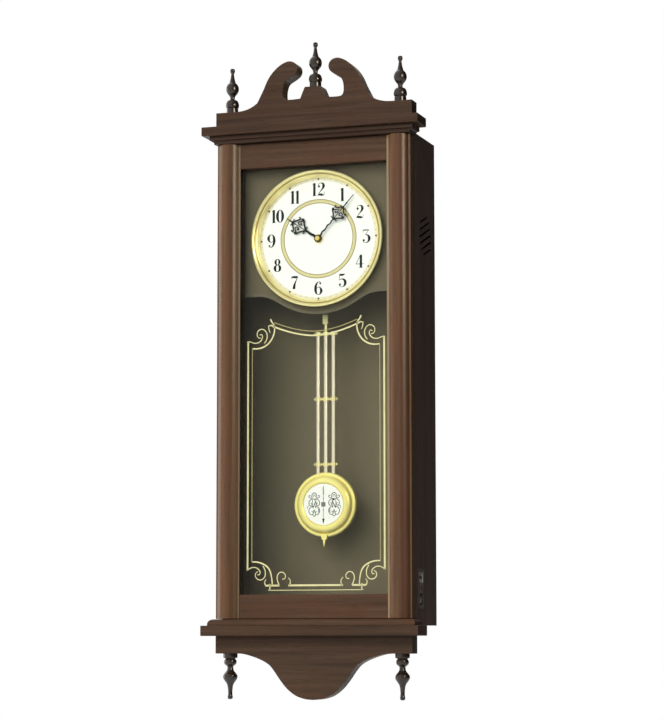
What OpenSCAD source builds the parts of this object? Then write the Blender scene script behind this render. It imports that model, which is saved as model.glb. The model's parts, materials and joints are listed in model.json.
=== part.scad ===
// Wall clock with a glazed door, a swinging pendulum and a broken-scroll pediment.
// Millimetres, +Z up, the front faces -Y. The origin is the centre of the keyhole's
// round entry in the hanger plate, in the plane of the wall.

/* [Case] */
// Outer width of the case and of the door
case_w = 271.6; // [268:0.2:273]
// Depth of the case behind the door
case_d = 90; // [88:0.5:94]
// Thickness of the case boards
board_t = 9; // [8:0.5:10]
// Height of the case bottom above the lowest tip
case_lo = 96.6; // [96.6:0.1:97]
// Height of the case top above the lowest tip
case_hi = 746.5; // [744:0.5:747]
// Height of the hanger hole above the lowest tip
hang_h = 716; // [714:1:718]

/* [Cornice] */
// Width of the base slab
slab_w = 300; // [298:1:302]
// Width of the cornice slab
cornice_w = 304; // [302:0.5:306]
// Depth of both slabs, front to back
slab_d = 41; // [39:0.5:42]
// Thickness of the cornice slab
cornice_t = 12.3; // [11:0.1:13]
// Outward run of the moulding under the cornice slab
cove_run = 6.2; // [5:0.1:7]
// Thickness of the pediment and apron boards
board_orn_t = 22.7; // [20:0.1:22.7]
// Height of the pediment's shoulders above the slab
shoulder_h = 22.4; // [20:0.2:24]

/* [Base] */
// Height of the base slab's underside above the lowest tip
base_lo = 83; // [82.5:0.1:83]
// Thickness of the base slab
base_t = 13.6; // [13:0.1:13.6]
// Height of the moulded step on the base slab
step_h = 8.4; // [8:0.1:8.4]
// Height of the apron's ends
apron_end_h = 23; // [21:0.5:24]

/* [Finials] */
// Distance of the outer finials from the middle
finial_x = 119; // [116:0.5:121]
// Height of an upper finial
finial_h = 62.5; // [60:0.5:64]
// Height of a lower finial
drop_h = 60; // [58:0.5:60]
// Radius of the studs that hold the finials
stud_r = 2; // [1.5:0.1:2.5]

/* [Door] */
// Width of the columns on the door
column_w = 33.2; // [31:0.2:34]
// Rise of the columns in front of the rails
column_rise = 9.4; // [7:0.2:10.4]
// Height of the top rail
rail_hi_h = 33.6; // [32:0.2:35]
// Height of the bottom rail
rail_lo_h = 31.8; // [30:0.2:33]
// Thickness of the glass
glass_t = 2; // [1.8:0.1:2]
// Gap between the door and the case
door_gap = 0.3; // [0.3:0.1:0.5]

/* [Dial] */
// Height of the dial's centre above the lowest tip
dial_h = 611.6; // [611:0.2:613]
// Outer radius of the bezel
bezel_r = 92.8; // [92:0.2:94]
// Radius of the dial that shows inside the bezel
dial_r = 82.5; // [81:0.5:83]
// Radius of the round lobe at the dial board's lower edge
lobe_r = 101.8; // [101:0.2:105]

/* [Hands] */
// Length of the minute hand
minute_l = 76; // [74:1:80]
// Length of the hour hand
hour_l = 51; // [48:1:54]
// Clockwise angle of the minute hand at rest
minute_a = 42; // [0:6:354]
// Clockwise angle of the hour hand at rest
hour_a = 303.5; // [0:0.5:359.5]

/* [Movement] */
// Half width of the movement's housing
move_hw = 38; // [36:1:42]
// Module of the cannon pinion and the minute wheel
gear_m1 = 0.5; // [0.5:0.1:0.5]
// Module of the minute pinion and the hour wheel
gear_m2 = 0.48; // [0.48:0.1:0.48]

/* [Pendulum] */
// Depth of the plane of the rods in front of the wall
pend_y = 59; // [58:0.5:60]
// Height of the pivot above the lowest tip
pivot_h = 571; // [569:1:572]
// Radius of the bob
bob_r = 43.1; // [42:0.1:45]
// Height of the bob's centre above the lowest tip
bob_h = 257; // [256:0.5:259]
// Radius of a rod
rod_r = 2.7; // [1.8:0.1:3]
// Spacing of the rods
rod_gap = 10.9; // [10:0.1:12]
// Radius of the medallion in the bob
medal_r = 27.5; // [26:0.5:28]

/* [Controls] */
// Distance of the control plate's middle from the wall
ctrl_y = 75; // [70:1:76]
// Height of the control plate's middle above the lowest tip
ctrl_h = 144.5; // [143:0.5:147]
// Distance of the grille's middle from the wall
grille_y = 45; // [41:1:46]
// Height of the grille's middle above the lowest tip
grille_h = 615; // [613:1:618]
// Radius of the grille
grille_r = 29; // [25:1:30]

/* [Hidden] */
$fn = 96;
hw = case_w / 2;                       // half width of case and door
by = -case_d;                          // front plane of the case
rail_y = -113.4;                       // face of the rails
door_y = by - door_gap;                // back of the door
glass_y = -104;                        // front face of the glass
open_x = hw - column_w;                // half width of the glazed opening
slab_y = -134;                         // front of the slabs
orn_y = -113.7;                        // front of pediment and apron
door_lo = Z(105.5);
door_hi = Z(741.5);
open_lo = door_lo + rail_lo_h;
open_hi = door_hi - rail_hi_h;
cove_lo = Z(742);
slab_hi = Z(764.6);
dz = Z(dial_h);
pz = Z(pivot_h);
bz = Z(bob_h);
cv_y = -121;                           // front of the cornice block
hinge_x = -hw - 2.4;
hinge_y = by - 0.2;
finial_y = orn_y + board_orn_t / 2;
wheel_z = dz - 12;
batt_x = -86;
move_lo = dz - 36;
move_hi = dz + 36;
inner = hw - board_t;

wood = [0.33, 0.25, 0.19];
wood_dark = [0.20, 0.15, 0.12];
olive = [0.36, 0.34, 0.27];
gold = [0.85, 0.76, 0.50];
steel = [0.75, 0.75, 0.76];
brass = [0.78, 0.66, 0.38];
white = [0.98, 0.98, 0.96];
black = [0.08, 0.08, 0.08];

function Z(h) = h - hang_h;
function flipx(l) = [for (i = [len(l) - 1:-1:0]) [-l[i][0], l[i][1]]];
// smooth curve through the points of l, n steps to a span
function cr(a, b, c, d, t) = 0.5 * ((2 * b) + (c - a) * t + (2 * a - 5 * b + 4 * c - d) * t * t
    + (3 * b - a - 3 * c + d) * t * t * t);
function smooth(l, n) = concat([for (i = [0:len(l) - 2]) for (k = [0:n - 1])
    cr(l[max(i - 1, 0)], l[i], l[i + 1], l[min(i + 2, len(l) - 1)], k / n)], [l[len(l) - 1]]);

module box(a, b) translate(a) cube([b[0] - a[0], b[1] - a[1], b[2] - a[2]]);
// cylinder along Y from y0 to y1
module ycyl(r, y0, y1, x = 0, z = 0, f = 96) translate([x, y1, z]) rotate([90, 0, 0])
    cylinder(r = r, h = y1 - y0, $fn = f);
module xcyl(r, x0, x1, y = 0, z = 0, f = 96) translate([x0, y, z]) rotate([0, 90, 0])
    cylinder(r = r, h = x1 - x0, $fn = f);
// outline in X and Z, pushed from y0 to y1
module plate(y0, y1) translate([0, y1, 0]) rotate([90, 0, 0]) linear_extrude(y1 - y0) children();
// turned about an axis along Y, profile points are [radius, distance in front of y0]
module turned_y(y0, x = 0, z = 0) translate([x, y0, z]) rotate([90, 0, 0]) rotate_extrude() children();
module mirrored() { children(); mirror([1, 0, 0]) children(); }

// ---- case -------------------------------------------------------------------
module side_board() box([inner, by, Z(case_lo)], [hw, 0, Z(case_hi)]);
module case_side_left() color(wood_dark) mirror([1, 0, 0]) side_board();
module case_side_right() color(wood_dark) difference() {
    side_board();
    // diagonal grille slots inside a circle
    for (k = [-2.5:1:2.5]) let (d = k * 8.9, half = sqrt(grille_r * grille_r - d * d) - 1.5)
        translate([inner - 1, -grille_y, Z(grille_h)]) rotate([20, 0, 0])
            translate([0, -half, d - 1.5]) cube([board_t + 2, 2 * half, 3]);
    box([inner - 1, -ctrl_y - 11, Z(ctrl_h) - 24], [hw + 1, -ctrl_y + 11, Z(ctrl_h) + 24]);
}
module case_top() color(wood_dark) box([-inner, by, Z(case_hi) - board_t], [inner, 0, Z(case_hi)]);
module case_bottom() color(wood_dark) box([-inner, by, Z(case_lo)], [inner, 0, Z(case_lo) + board_t]);
module back_panel() color(olive) difference() {
    box([-inner, -6, Z(case_lo) + board_t], [inner, -3, Z(case_hi) - board_t - 45]);
    box([-66, -7, dz - 62], [66, -2, dz + 58]);
    for (x = [-70.5, 70.5], z = [dz - 50, dz + 46]) ycyl(1.32, -7, -2, x, z);
}
module back_hatch() color(black) difference() {
    box([-75, -3, dz - 68], [75, -1.2, dz + 64]);
    for (x = [-70.5, 70.5], z = [dz - 50, dz + 46]) {
        ycyl(1.5, -4, 0, x, z);
        translate([x, -1.19, z]) rotate([90, 0, 0]) cylinder(r1 = 3.1, r2 = 1.5, h = 1.4);
    }
}
module screw(x, z, y) translate([x, y, z]) rotate([90, 0, 0]) union() {
    cylinder(r1 = 2.8, r2 = 1.3, h = 1.2);
    translate([0, 0, 1.2]) cylinder(r = 1.3, h = 7.8);
}
module back_screws() color(steel) {
    for (x = [-70.5, 70.5], z = [dz - 50, dz + 46]) screw(x, z, -1.3);
    for (x = [-27, 27]) screw(x, 4, -0.1);
}
module keyhole2d(r, w, up) { circle(r = r); translate([-w / 2, 0]) square([w, up]); translate([0, up]) circle(r = w / 2); }
module hanging_rail() color(wood_dark) difference() {
    box([-inner, -16, Z(case_hi) - board_t - 45], [inner, -1.5, Z(case_hi) - board_t]);
    box([-8, -11, -8], [8, 0, 19]);
    for (x = [-27, 27]) ycyl(1.32, -10, 0, x, 4);
}
module hanger_plate() color(steel) difference() {
    box([-34, -1.5, -9], [34, 0, 20]);
    plate(-2, 1) keyhole2d(5, 4.6, 12);
    for (x = [-27, 27]) ycyl(1.6, -2, 1, x, 4);
    for (x = [-27, 27]) translate([x, 0.01, 4]) rotate([90, 0, 0]) cylinder(r1 = 3.2, r2 = 1.6, h = 1.3);
}

// ---- cornice and pediment ---------------------------------------------------
module cornice_block() color(wood_dark) union() {
    box([-hw + 2.3, cv_y + 3, cove_lo], [hw - 2.3, by, slab_hi - cornice_t]);
    box([-115, by, Z(case_hi)], [115, -40, slab_hi - cornice_t]);
}
cove_h = slab_hi - cornice_t - cove_lo;
// small cove with a flat band over it
cove_pts = concat([[-3, 0], [1.2, 0], [1.2, 1]],
    [for (t = [10:10:90]) [1.2 + (cove_run - 1.8) * (1 - cos(t)), 1 + (cove_h * 0.48 - 1) * sin(t)]],
    [[cove_run, cove_h * 0.48], [cove_run, cove_h], [-3, cove_h]]);
module cornice_cove() color(wood_dark) {
    bx = hw + 0.7;
    intersection() {
        translate([-170, cv_y, cove_lo]) rotate([90, 0, 90]) linear_extrude(340)
            polygon([for (p = cove_pts) [-p[0], p[1]]]);
        translate([0, 0, cove_lo - 1]) linear_extrude(40)
            polygon([[-bx + 5, cv_y + 5], [-bx - 15, cv_y - 15], [bx + 15, cv_y - 15], [bx - 5, cv_y + 5]]);
    }
    mirrored() intersection() {
        translate([bx, slab_y + slab_d, cove_lo]) rotate([90, 0, 0]) linear_extrude(60) polygon(cove_pts);
        translate([0, 0, cove_lo - 1]) linear_extrude(40)
            polygon([[bx - 5, cv_y + 5], [bx + 15, cv_y - 15], [bx + 15, -80], [bx - 5, -80]]);
    }
}
module cornice_slab() color(wood) box([-cornice_w / 2, slab_y, slab_hi - cornice_t], [cornice_w / 2, slab_y + slab_d, slab_hi]);

// right half of the pediment's edge, from the shoulder round the scroll to the plinth
ped_a = [[138.2, 787], [118, 786.9], [105, 787.1], [97, 788.3], [90.5, 790.2], [84.6, 793.2]];
ped_b = [[79.2, 796.8], [76.6, 801.8], [73.2, 808.5], [70, 814.8], [67, 821.8], [63.4, 828.8], [58.6, 835.6],
    [52.6, 841.8], [46.4, 846.6], [40, 849.8], [33.4, 851.2], [26.8, 849.2], [22.9, 844.6], [22.3, 839], [25, 833.4],
    [31.8, 828.6], [39.4, 824], [42.6, 816.8], [43.5, 808.4], [42.7, 802.6], [40.2, 799.4], [35.6, 798.5], [28, 798.4]];
ped_c = [[17.8, 799], [15.2, 805.8], [12.4, 812.4], [11.2, 814.5]];
ped_z = slab_hi + shoulder_h - Z(787);
ped_half = [for (p = concat(smooth(ped_a, 3), smooth(ped_b, 3), ped_c)) [p[0] * hw / 135.8, Z(p[1]) + ped_z]];
module pediment() color(wood) difference() {
    plate(orn_y, orn_y + board_orn_t) polygon(concat([[-ped_half[0][0], slab_hi], [ped_half[0][0], slab_hi]], ped_half, flipx(ped_half)));
    for (x = [-finial_x, finial_x]) translate([x, finial_y, slab_hi + shoulder_h - 9]) cylinder(r = stud_r + 0.02, h = 12);
    translate([0, finial_y, Z(814.5) + ped_z - 10]) cylinder(r = stud_r + 0.02, h = 12);
}

// ---- base and apron ---------------------------------------------------------
module base_slab() color(wood) box([-slab_w / 2, slab_y, Z(base_lo)], [slab_w / 2, slab_y + slab_d, Z(base_lo) + base_t]);
// board with a quarter-round edge on three sides
step_pts = concat([[0, 0], [7, 0]], [for (t = [0:12:84]) [7 * cos(t), step_h - 6.6 + 6.6 * sin(t)]], [[0, step_h]]);
module base_step() color(wood) {
    z = Z(base_lo) + base_t;
    bx = hw + 0.4; fy = -119.5;
    box([-bx, fy, z], [bx, by, z + step_h]);
    intersection() {
        translate([-170, fy, z]) rotate([90, 0, 90]) linear_extrude(340)
            polygon([for (p = step_pts) [-p[0], p[1]]]);
        translate([0, 0, z - 1]) linear_extrude(20)
            polygon([[-bx, fy], [-bx - 15, fy - 15], [bx + 15, fy - 15], [bx, fy]]);
    }
    mirrored() intersection() {
        translate([bx, slab_y + slab_d, z]) rotate([90, 0, 0]) linear_extrude(60) polygon(step_pts);
        translate([0, 0, z - 1]) linear_extrude(20)
            polygon([[bx, fy], [bx + 15, fy - 15], [bx + 15, -80], [bx, -80]]);
    }
}
module base_cleat() color(wood_dark) box([-115, slab_y + slab_d, Z(base_lo) + 1], [115, -60, Z(case_lo)]);
apr = [[135.8, 60], [118, 60], [101, 59.9], [88, 57.4], [72.5, 52], [61, 45.6], [53.5, 37.2], [45.8, 26.4],
    [36, 14.7], [24, 5.6], [11, 1.1], [0, 0]];
apr_s = smooth(apr, 4);
apr_half = [for (i = [0:len(apr_s) - 2]) [apr_s[i][0] * hw / 135.8, Z(apr_s[i][1])]];
module apron() color(wood) difference() {
    plate(orn_y, orn_y + board_orn_t) polygon(concat([[-hw, Z(base_lo)]], [for (p = apr_half) [-p[0], p[1]]],
        [[0, Z(0)]], [for (i = [len(apr_half) - 1:-1:0]) apr_half[i]], [[hw, Z(base_lo)]]));
    for (x = [-finial_x, finial_x]) translate([x, finial_y, Z(60) - 3]) cylinder(r = stud_r + 0.02, h = 12);
}

// ---- finials ----------------------------------------------------------------
fin = [[8, 0], [8, 6.4], [7.4, 7], [8.6, 8.6], [9.1, 11], [8.8, 13.8], [7.8, 16.6], [6.2, 18.4], [3.6, 19.6], [3.2, 21.4],
    [3.5, 23.4], [4.8, 25.4], [6.8, 27.8], [8.4, 31], [8.8, 34.5], [8.2, 37.8], [6.6, 40.6], [4.7, 42.6], [3.9, 44.6],
    [2.9, 48.6], [2.2, 53], [2, 55.4], [2.8, 56.8], [3.3, 58.8], [3.1, 61], [2.2, 62.2], [0, 62.5]];
drop = [[9.6, 0], [9.6, 5], [8.8, 5.8], [6.9, 6.6], [7, 7.4], [8.1, 9], [8.4, 11.5], [7.6, 14], [5.2, 16], [4, 17.6],
    [4.2, 20], [4.9, 22.4], [7.4, 25.4], [9.3, 28.2], [9.7, 30.5], [9.2, 33], [7.3, 36], [5.2, 38.8], [3.9, 41.8],
    [3.2, 46], [2.9, 50.5], [3, 54], [3.5, 56.6], [3.2, 58.8], [1.9, 59.8], [0, 60]];
module turned_finial(pts, h) difference() {
    rotate_extrude() polygon(concat([[0, 0]], [for (p = smooth(pts, 3)) [max(p[0], 0), p[1] * h]]));
    translate([0, 0, -1]) cylinder(r = stud_r + 0.02, h = 9);
}
module up_finial(x, z) color(wood_dark) translate([x, finial_y, z]) turned_finial(fin, finial_h / 62.5);
module down_finial(x) color(wood_dark) translate([x, finial_y, Z(60)]) mirror([0, 0, 1]) turned_finial(drop, drop_h / 60);
module upper_finials() {
    for (x = [-finial_x, finial_x]) up_finial(x, slab_hi + shoulder_h);
    up_finial(0, Z(814.5) + ped_z);
}
module lower_finials() for (x = [-finial_x, finial_x]) down_finial(x);
module finial_studs() color(steel) {
    for (x = [-finial_x, finial_x]) translate([x, finial_y, slab_hi + shoulder_h - 8]) cylinder(r = stud_r, h = 15);
    translate([0, finial_y, Z(814.5) + ped_z - 8]) cylinder(r = stud_r, h = 15);
    for (x = [-finial_x, finial_x]) translate([x, finial_y, Z(60) - 7]) cylinder(r = stud_r, h = 15);
}

// ---- dial board, dial and bezel ---------------------------------------------
module dial_battens() color(wood_dark) mirrored() box([inner - 12, -85, dz - 75], [inner, -77.5, Z(case_hi) - board_t]);
flat_z = dz - 74.8;
bl_x = 56; bl_z = dz - sqrt(lobe_r * lobe_r - bl_x * bl_x);
function herm(t) = let (s = bl_x / (dz - bl_z), w = 28)
    [bl_x + w * t, (2 * t * t * t - 3 * t * t + 1) * bl_z + (t * t * t - 2 * t * t + t) * w * s
        + (3 * t * t - 2 * t * t * t) * flat_z];
// right half of the board's lower edge, from the middle outwards
lobe_half = concat([for (a = [0:4:32]) let (b = a / 32 * asin(bl_x / lobe_r)) [lobe_r * sin(b), dz - lobe_r * cos(b)]],
    [for (k = [1:6]) herm(k / 6)]);
lobe = concat([for (i = [len(lobe_half) - 1:-1:1]) [-lobe_half[i][0], lobe_half[i][1]]], lobe_half);
module dial_board() color(olive) difference() {
    plate(-89, -85) polygon(concat([[inner - 0.2, flat_z], [inner - 0.2, Z(case_hi) - board_t - 0.2],
        [-inner + 0.2, Z(case_hi) - board_t - 0.2], [-inner + 0.2, flat_z]], lobe));
    ycyl(4.2, -90, -84, 0, dz);
}
edge = concat([[-inner + 0.2, flat_z]], lobe, [[inner - 0.2, flat_z]]);
trim_w = 4.4;
function unit(v) = v / norm(v);
edge_in = [for (i = [len(edge) - 1:-1:0]) let (a = edge[max(i - 1, 0)], b = edge[min(i + 1, len(edge) - 1)], u = unit(b - a))
    edge[i] + trim_w * [-u[1], u[0]]];
module dial_board_trim() color([0.45, 0.43, 0.34]) plate(-90, -89) polygon(concat(edge, edge_in));
module dial() color(white) difference() { ycyl(dial_r + 4, -90, -89, 0, dz); ycyl(4.2, -91, -88, 0, dz); }
// points are [radius, distance in front of the dial board]; a flared lip outside, a groove and a lower ring inside
module bezel() color(gold) turned_y(-89, 0, dz) polygon([[bezel_r - 4.6, 0], [bezel_r - 4.6, 3], [bezel_r - 3.6, 5.6],
    [bezel_r - 1.7, 7.8], [bezel_r - 0.4, 8.8], [bezel_r, 9.6], [bezel_r - 0.1, 10.4], [bezel_r - 0.7, 11], [bezel_r - 1.7, 11.3],
    [bezel_r - 3, 11], [bezel_r - 4, 10.2], [bezel_r - 4.6, 9], [bezel_r - 4.8, 7.6], [bezel_r - 5.4, 7.2], [bezel_r - 6, 7.8],
    [bezel_r - 6.8, 8], [bezel_r - 7.7, 7.4], [bezel_r - 8.7, 5.8], [dial_r + 0.8, 3.8], [dial_r, 2.4], [dial_r, 1.1],
    [dial_r + 4.1, 1.1], [dial_r + 4.1, 0]]);

// ---- movement ---------------------------------------------------------------
module movement_case() color(black) difference() {
    union() {
        box([-move_hw, -85, move_lo], [move_hw, -68, move_hi]);
        ycyl(4, -91.4, -84, 0, dz);
        // arms that carry the pendulum's pin
        box([-9, -72, pz - 5], [9, -68, move_lo + 1]);
    }
    box([-move_hw + 1.6, -83.4, move_lo + 1.6], [move_hw - 1.6, -67, move_hi - 1.6]);
    ycyl(2.56, -92, -82, 0, dz);
}
module movement_cover() color([0.15, 0.15, 0.16]) difference() {
    union() {
        box([-move_hw, -68, move_lo], [move_hw, -66, move_hi]);
        box([-9, -68, pz - 5], [9, -66, move_lo + 1]);
        // pin on which the pendulum hangs, with its head
        ycyl(1.5, -66.5, -56.2, 0, pz);
        ycyl(2.6, -56.2, -55.2, 0, pz);
        // post of the minute wheel
        ycyl(0.7, -83.3, -67, 0, wheel_z);
    }
    ycyl(1.55, -69, -65, 0, dz);
}
module dial_nut() color(brass) difference() { ycyl(6.5, -91.2, -90, 0, dz, 6); ycyl(4.05, -92, -89, 0, dz); }
function tooth(r0, r1, n, w0, w1, i) = let (a = 360 / n) [for (p = [[r0, -w0], [r1, -w1], [r1, w1], [r0, w0]])
    [p[0] * cos(a * (i + p[1])), p[0] * sin(a * (i + p[1]))]];
module gear2d(n, m, off = 0) rotate(off) polygon([for (i = [0:n - 1]) for (p = tooth(n * m / 2 - 1.25 * m, n * m / 2 + 0.85 * m, n, 0.25, 0.1, i)) p]);
module hour_wheel() color(brass) difference() {
    union() { plate(-80, -78.6) translate([0, dz]) gear2d(40, gear_m2, 90 / 20); ycyl(2.5, -92.6, -78.6, 0, dz); }
    ycyl(1.55, -93, -78, 0, dz);
    for (a = [45:90:315]) ycyl(1.5, -81, -78, 5.6 * cos(a), dz + 5.6 * sin(a));
}
module centre_arbor() color(brass) union() {
    ycyl(1.5, -94.4, -60, 0, dz);
    ycyl(2.7, -95.6, -94.4, 0, dz);
    plate(-76.4, -74.2) translate([0, dz]) gear2d(12, gear_m1, 0);
}
module minute_wheel() color(brass) difference() {
    union() {
        plate(-76, -74.6) translate([0, wheel_z]) gear2d(36, gear_m1, 5);
        plate(-80.2, -76) translate([0, wheel_z]) gear2d(10, gear_m2, 18);
    }
    ycyl(0.75, -81, -74, 0, wheel_z);
}
module set_knob() color(black) difference() {
    plate(-65.6, -60) translate([0, dz]) union() { circle(r = 7); for (a = [0:20:340]) rotate(a) translate([7, 0]) circle(r = 0.7); }
    ycyl(1.5, -66, -59, 0, dz);
}
module drive_coil() color([0.72, 0.40, 0.20]) difference() {
    xcyl(6, -30, -12, -75.5, dz + 24);
    xcyl(2, -31, -11, -75.5, dz + 24);
}
module circuit_board() color([0.10, 0.35, 0.18]) {
    box([52, -83, dz - 40], [100, -81.4, dz + 40]);
    for (p = [[58, -30], [58, 0], [74, 18], [86, -24]]) box([p[0], -81.4, dz + p[1]], [p[0] + 10, -77, dz + p[1] + 14]);
    for (x = [54, 98], z = [dz - 38, dz + 38]) ycyl(1.6, -85, -83, x, z);
}
// tray for two cells, one above the other
module battery_holder() color(black) difference() {
    box([batt_x - 16, -85, dz - 56], [batt_x + 16, -62, dz + 56]);
    box([batt_x - 14, -83, dz - 54], [batt_x + 14, -61, dz + 54]);
}
module batteries() color([0.30, 0.32, 0.36]) for (z = [dz - 51.5, dz + 1.5])
    translate([batt_x, -69.5, z]) union() { cylinder(r = 13, h = 48); translate([0, 0, 48]) cylinder(r = 3.2, h = 1.8); }

// ---- hands ------------------------------------------------------------------
// flat pierced hand: tip at radius l, openwork from r0 to r1
module hand2d(l, r0, r1, w, hub) difference() {
    union() {
        circle(r = hub);
        translate([-0.9, 0]) square([1.8, r0 + 1]);
        polygon([[-1.1, r1 - 1], [1.1, r1 - 1], [1.5, r1 + 3], [0.25, l], [-0.25, l], [-1.5, r1 + 3]]);
        for (s = [-1, 1]) {
            translate([s * w * 0.5, r0 + (r1 - r0) * 0.30]) circle(r = w * 0.52);
            translate([s * w * 0.42, r0 + (r1 - r0) * 0.68]) circle(r = w * 0.46);
        }
        translate([0, r1 - 2.4]) circle(r = 2.6);
        translate([0, r0 + 2]) circle(r = 2.8);
    }
    for (s = [-1, 1]) {
        translate([s * w * 0.5, r0 + (r1 - r0) * 0.30]) circle(r = w * 0.3);
        translate([s * w * 0.42, r0 + (r1 - r0) * 0.68]) circle(r = w * 0.26);
    }
}
module hand_shape(l, r0, r1, w, hub) {
    hand2d(l, r0, r1, w, hub);
    translate([-0.6, r0]) square([1.2, r1 - r0]);
}
module hour_hand() color(black) plate(-92.6, -92) translate([0, dz]) difference() {
    rotate(-hour_a) hand_shape(hour_l, 19, 41, 7.6, 6);
    circle(r = 2.5);
}
module minute_hand() color(black) plate(-94.4, -93.8) translate([0, dz]) difference() {
    rotate(-minute_a) hand_shape(minute_l, 32, 53, 6.6, 5);
    circle(r = 1.5);
}

// ---- pendulum ---------------------------------------------------------------
py = -pend_y;
clip_hi = Z(512.1); clip_lo = Z(499.9);
bars = [Z(486.6), Z(398.6), Z(311)];
module pendulum_hanger() color(steel) difference() {
    union() {
        plate(-61, -58) polygon([[-6, pz + 6], [6, pz + 6], [6, pz - 6], [2.2, pz - 14], [2.2, clip_lo + 4.2], [-2.2, clip_lo + 4.2], [-2.2, pz - 14], [-6, pz - 6]]);
        ycyl(4, -64.5, -57, 0, pz);
    }
    ycyl(1.55, -66, -56, 0, pz);
}
module pendulum_clip() color(gold) difference() {
    union() {
        box([-3.6, py - 3, clip_lo], [3.6, py + 2.2, clip_hi]);
        translate([0, py, bars[0] + 2.6]) cylinder(r = 2.1, h = clip_lo - bars[0] - 2.6);
    }
    box([-2.3, -61.1, clip_lo + 4.1], [2.3, -57.9, clip_hi + 1]);
}
rod_lo = bz + 33;                      // the rods end inside the bob
module pendulum_rods() color(steel) for (s = [-1, 0, 1])
    translate([s * rod_gap, py, rod_lo]) cylinder(r = rod_r, h = bars[0] - rod_lo);
module pendulum_crossbars() color(gold) for (i = [0:2]) difference() {
    translate([0, py, bars[i]]) union() {
        xcyl(1.5, -rod_gap - 4, rod_gap + 4);
        for (s = [-1, 0, 1]) translate([s * rod_gap, 0, -2.6]) cylinder(r = 3.9, h = 5.2);
        for (s = [-1, 1]) translate([s * (rod_gap + 4.4), 0, 0]) sphere(r = 1.9);
    }
    for (s = [-1, 0, 1]) translate([s * rod_gap, py, bars[i] - 10]) cylinder(r = rod_r + 0.01, h = i == 0 ? 10 : 20);
}
bob_y = py + 3;                        // back of the bob's ring
// points are [radius, distance in front of the ring's back]
module pendulum_bob() color(gold) difference() {
    union() {
        turned_y(bob_y, 0, bz) polygon([[medal_r - 3, 0], [bob_r - 1.2, 0], [bob_r - 0.3, 0.6], [bob_r, 1.8], [bob_r, 6],
            [bob_r - 0.4, 7.2], [bob_r - 1.4, 7.9], [bob_r - 3.8, 8.3], [bob_r - 4.2, 8], [bob_r - 4.6, 9.2], [bob_r - 5.4, 11],
            [bob_r - 6.8, 12.8], [bob_r - 8.8, 14.2], [bob_r - 11, 14.9], [medal_r + 3.2, 15.1], [medal_r + 1.8, 14.8],
            [medal_r + 0.8, 14], [medal_r, 12.4], [medal_r - 3, 12.4]]);
        // pointer under the bob
        plate(bob_y - 11, bob_y - 6) polygon([[-4.4, bz - bob_r + 2.6], [-3.6, bz - bob_r - 1.2], [-3.4, bz - bob_r - 3],
            [-1.5, bz - bob_r - 4.2], [-1.3, bz - bob_r - 6.4], [0, bz - bob_r - 14], [1.3, bz - bob_r - 6.4],
            [1.5, bz - bob_r - 4.2], [3.4, bz - bob_r - 3], [3.6, bz - bob_r - 1.2], [4.4, bz - bob_r + 2.6]]);
    }
    for (s = [-1, 0, 1]) translate([s * rod_gap, py, rod_lo]) cylinder(r = rod_r + 0.01, h = 20);
}
module bob_medallion() color(white) ycyl(medal_r, bob_y - 13.6, bob_y - 12.4, 0, bz);
module bob_back() color(brass) turned_y(bob_y + 2, 0, bz) polygon([[0, 0], [bob_r - 8, 0], [bob_r - 3, 2], [0, 2]]);

// ---- speaker and controls on the right side ---------------------------------
gz = Z(grille_h);
module speaker() color(black) translate([inner, -grille_y, gz]) rotate([0, -90, 0]) rotate_extrude()
    polygon([[0, 12], [10, 8], [24, 2], [27, 2.4], [27, 0], [31, 0], [31, 2.6], [28, 3], [14, 14], [14, 22], [0, 22]]);
cz = Z(ctrl_h);
module control_plate() color([0.25, 0.21, 0.19]) {
  // pin of the thumb wheel
  ycyl(1, -ctrl_y - 8.2, -ctrl_y + 8.2, wheel_x, wheel_cz);
  difference() {
    union() {
        box([hw, -ctrl_y - 13, cz - 26], [hw + 1, -ctrl_y + 13, cz + 26]);
        box([inner - 6, -ctrl_y - 10.8, cz - 23.8], [hw, -ctrl_y + 10.8, cz + 23.8]);
    }
    box([hw - 3.4, -ctrl_y - 8, cz + 8], [hw + 2, -ctrl_y + 8, cz + 21]);
    box([hw - 8, -ctrl_y - 2.2, cz + 9.4], [hw, -ctrl_y + 2.2, cz + 19.6]);
    xcyl(4.2, hw - 3.4, hw + 2, -ctrl_y, cz + 1);
    xcyl(2.5, hw - 11.6, hw, -ctrl_y, cz + 1);
    box([hw - 12.6, -ctrl_y - 8.2, cz - 22], [hw + 2, -ctrl_y + 8.2, cz - 6.4]);
  }
}
module slide_switch() color([0.55, 0.52, 0.48]) union() {
    box([hw - 2.8, -ctrl_y - 4, cz + 12.4], [hw + 0.6, -ctrl_y + 4, cz + 16.6]);
    box([hw - 7.6, -ctrl_y - 1.9, cz + 12.6], [hw - 2.8, -ctrl_y + 1.9, cz + 16.4]);
}
module push_button() color(black) union() {
    xcyl(3.9, hw - 1.6, hw + 0.9, -ctrl_y, cz + 1);
    xcyl(2.4, hw - 9.4, hw - 1.6, -ctrl_y, cz + 1);
}
// thumb wheel on a pin along Y
wheel_x = hw - 5.6; wheel_cz = cz - 14.2;
module volume_wheel() color([0.30, 0.27, 0.25]) difference() {
    translate([wheel_x, -ctrl_y + 5, wheel_cz]) rotate([90, 0, 0]) linear_extrude(10) union() {
        circle(r = 6.2);
        for (a = [0:20:340]) rotate(a) translate([6.1, 0]) circle(r = 0.45);
    }
    ycyl(1.05, -ctrl_y - 9, -ctrl_y + 9, wheel_x, wheel_cz);
}

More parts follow.
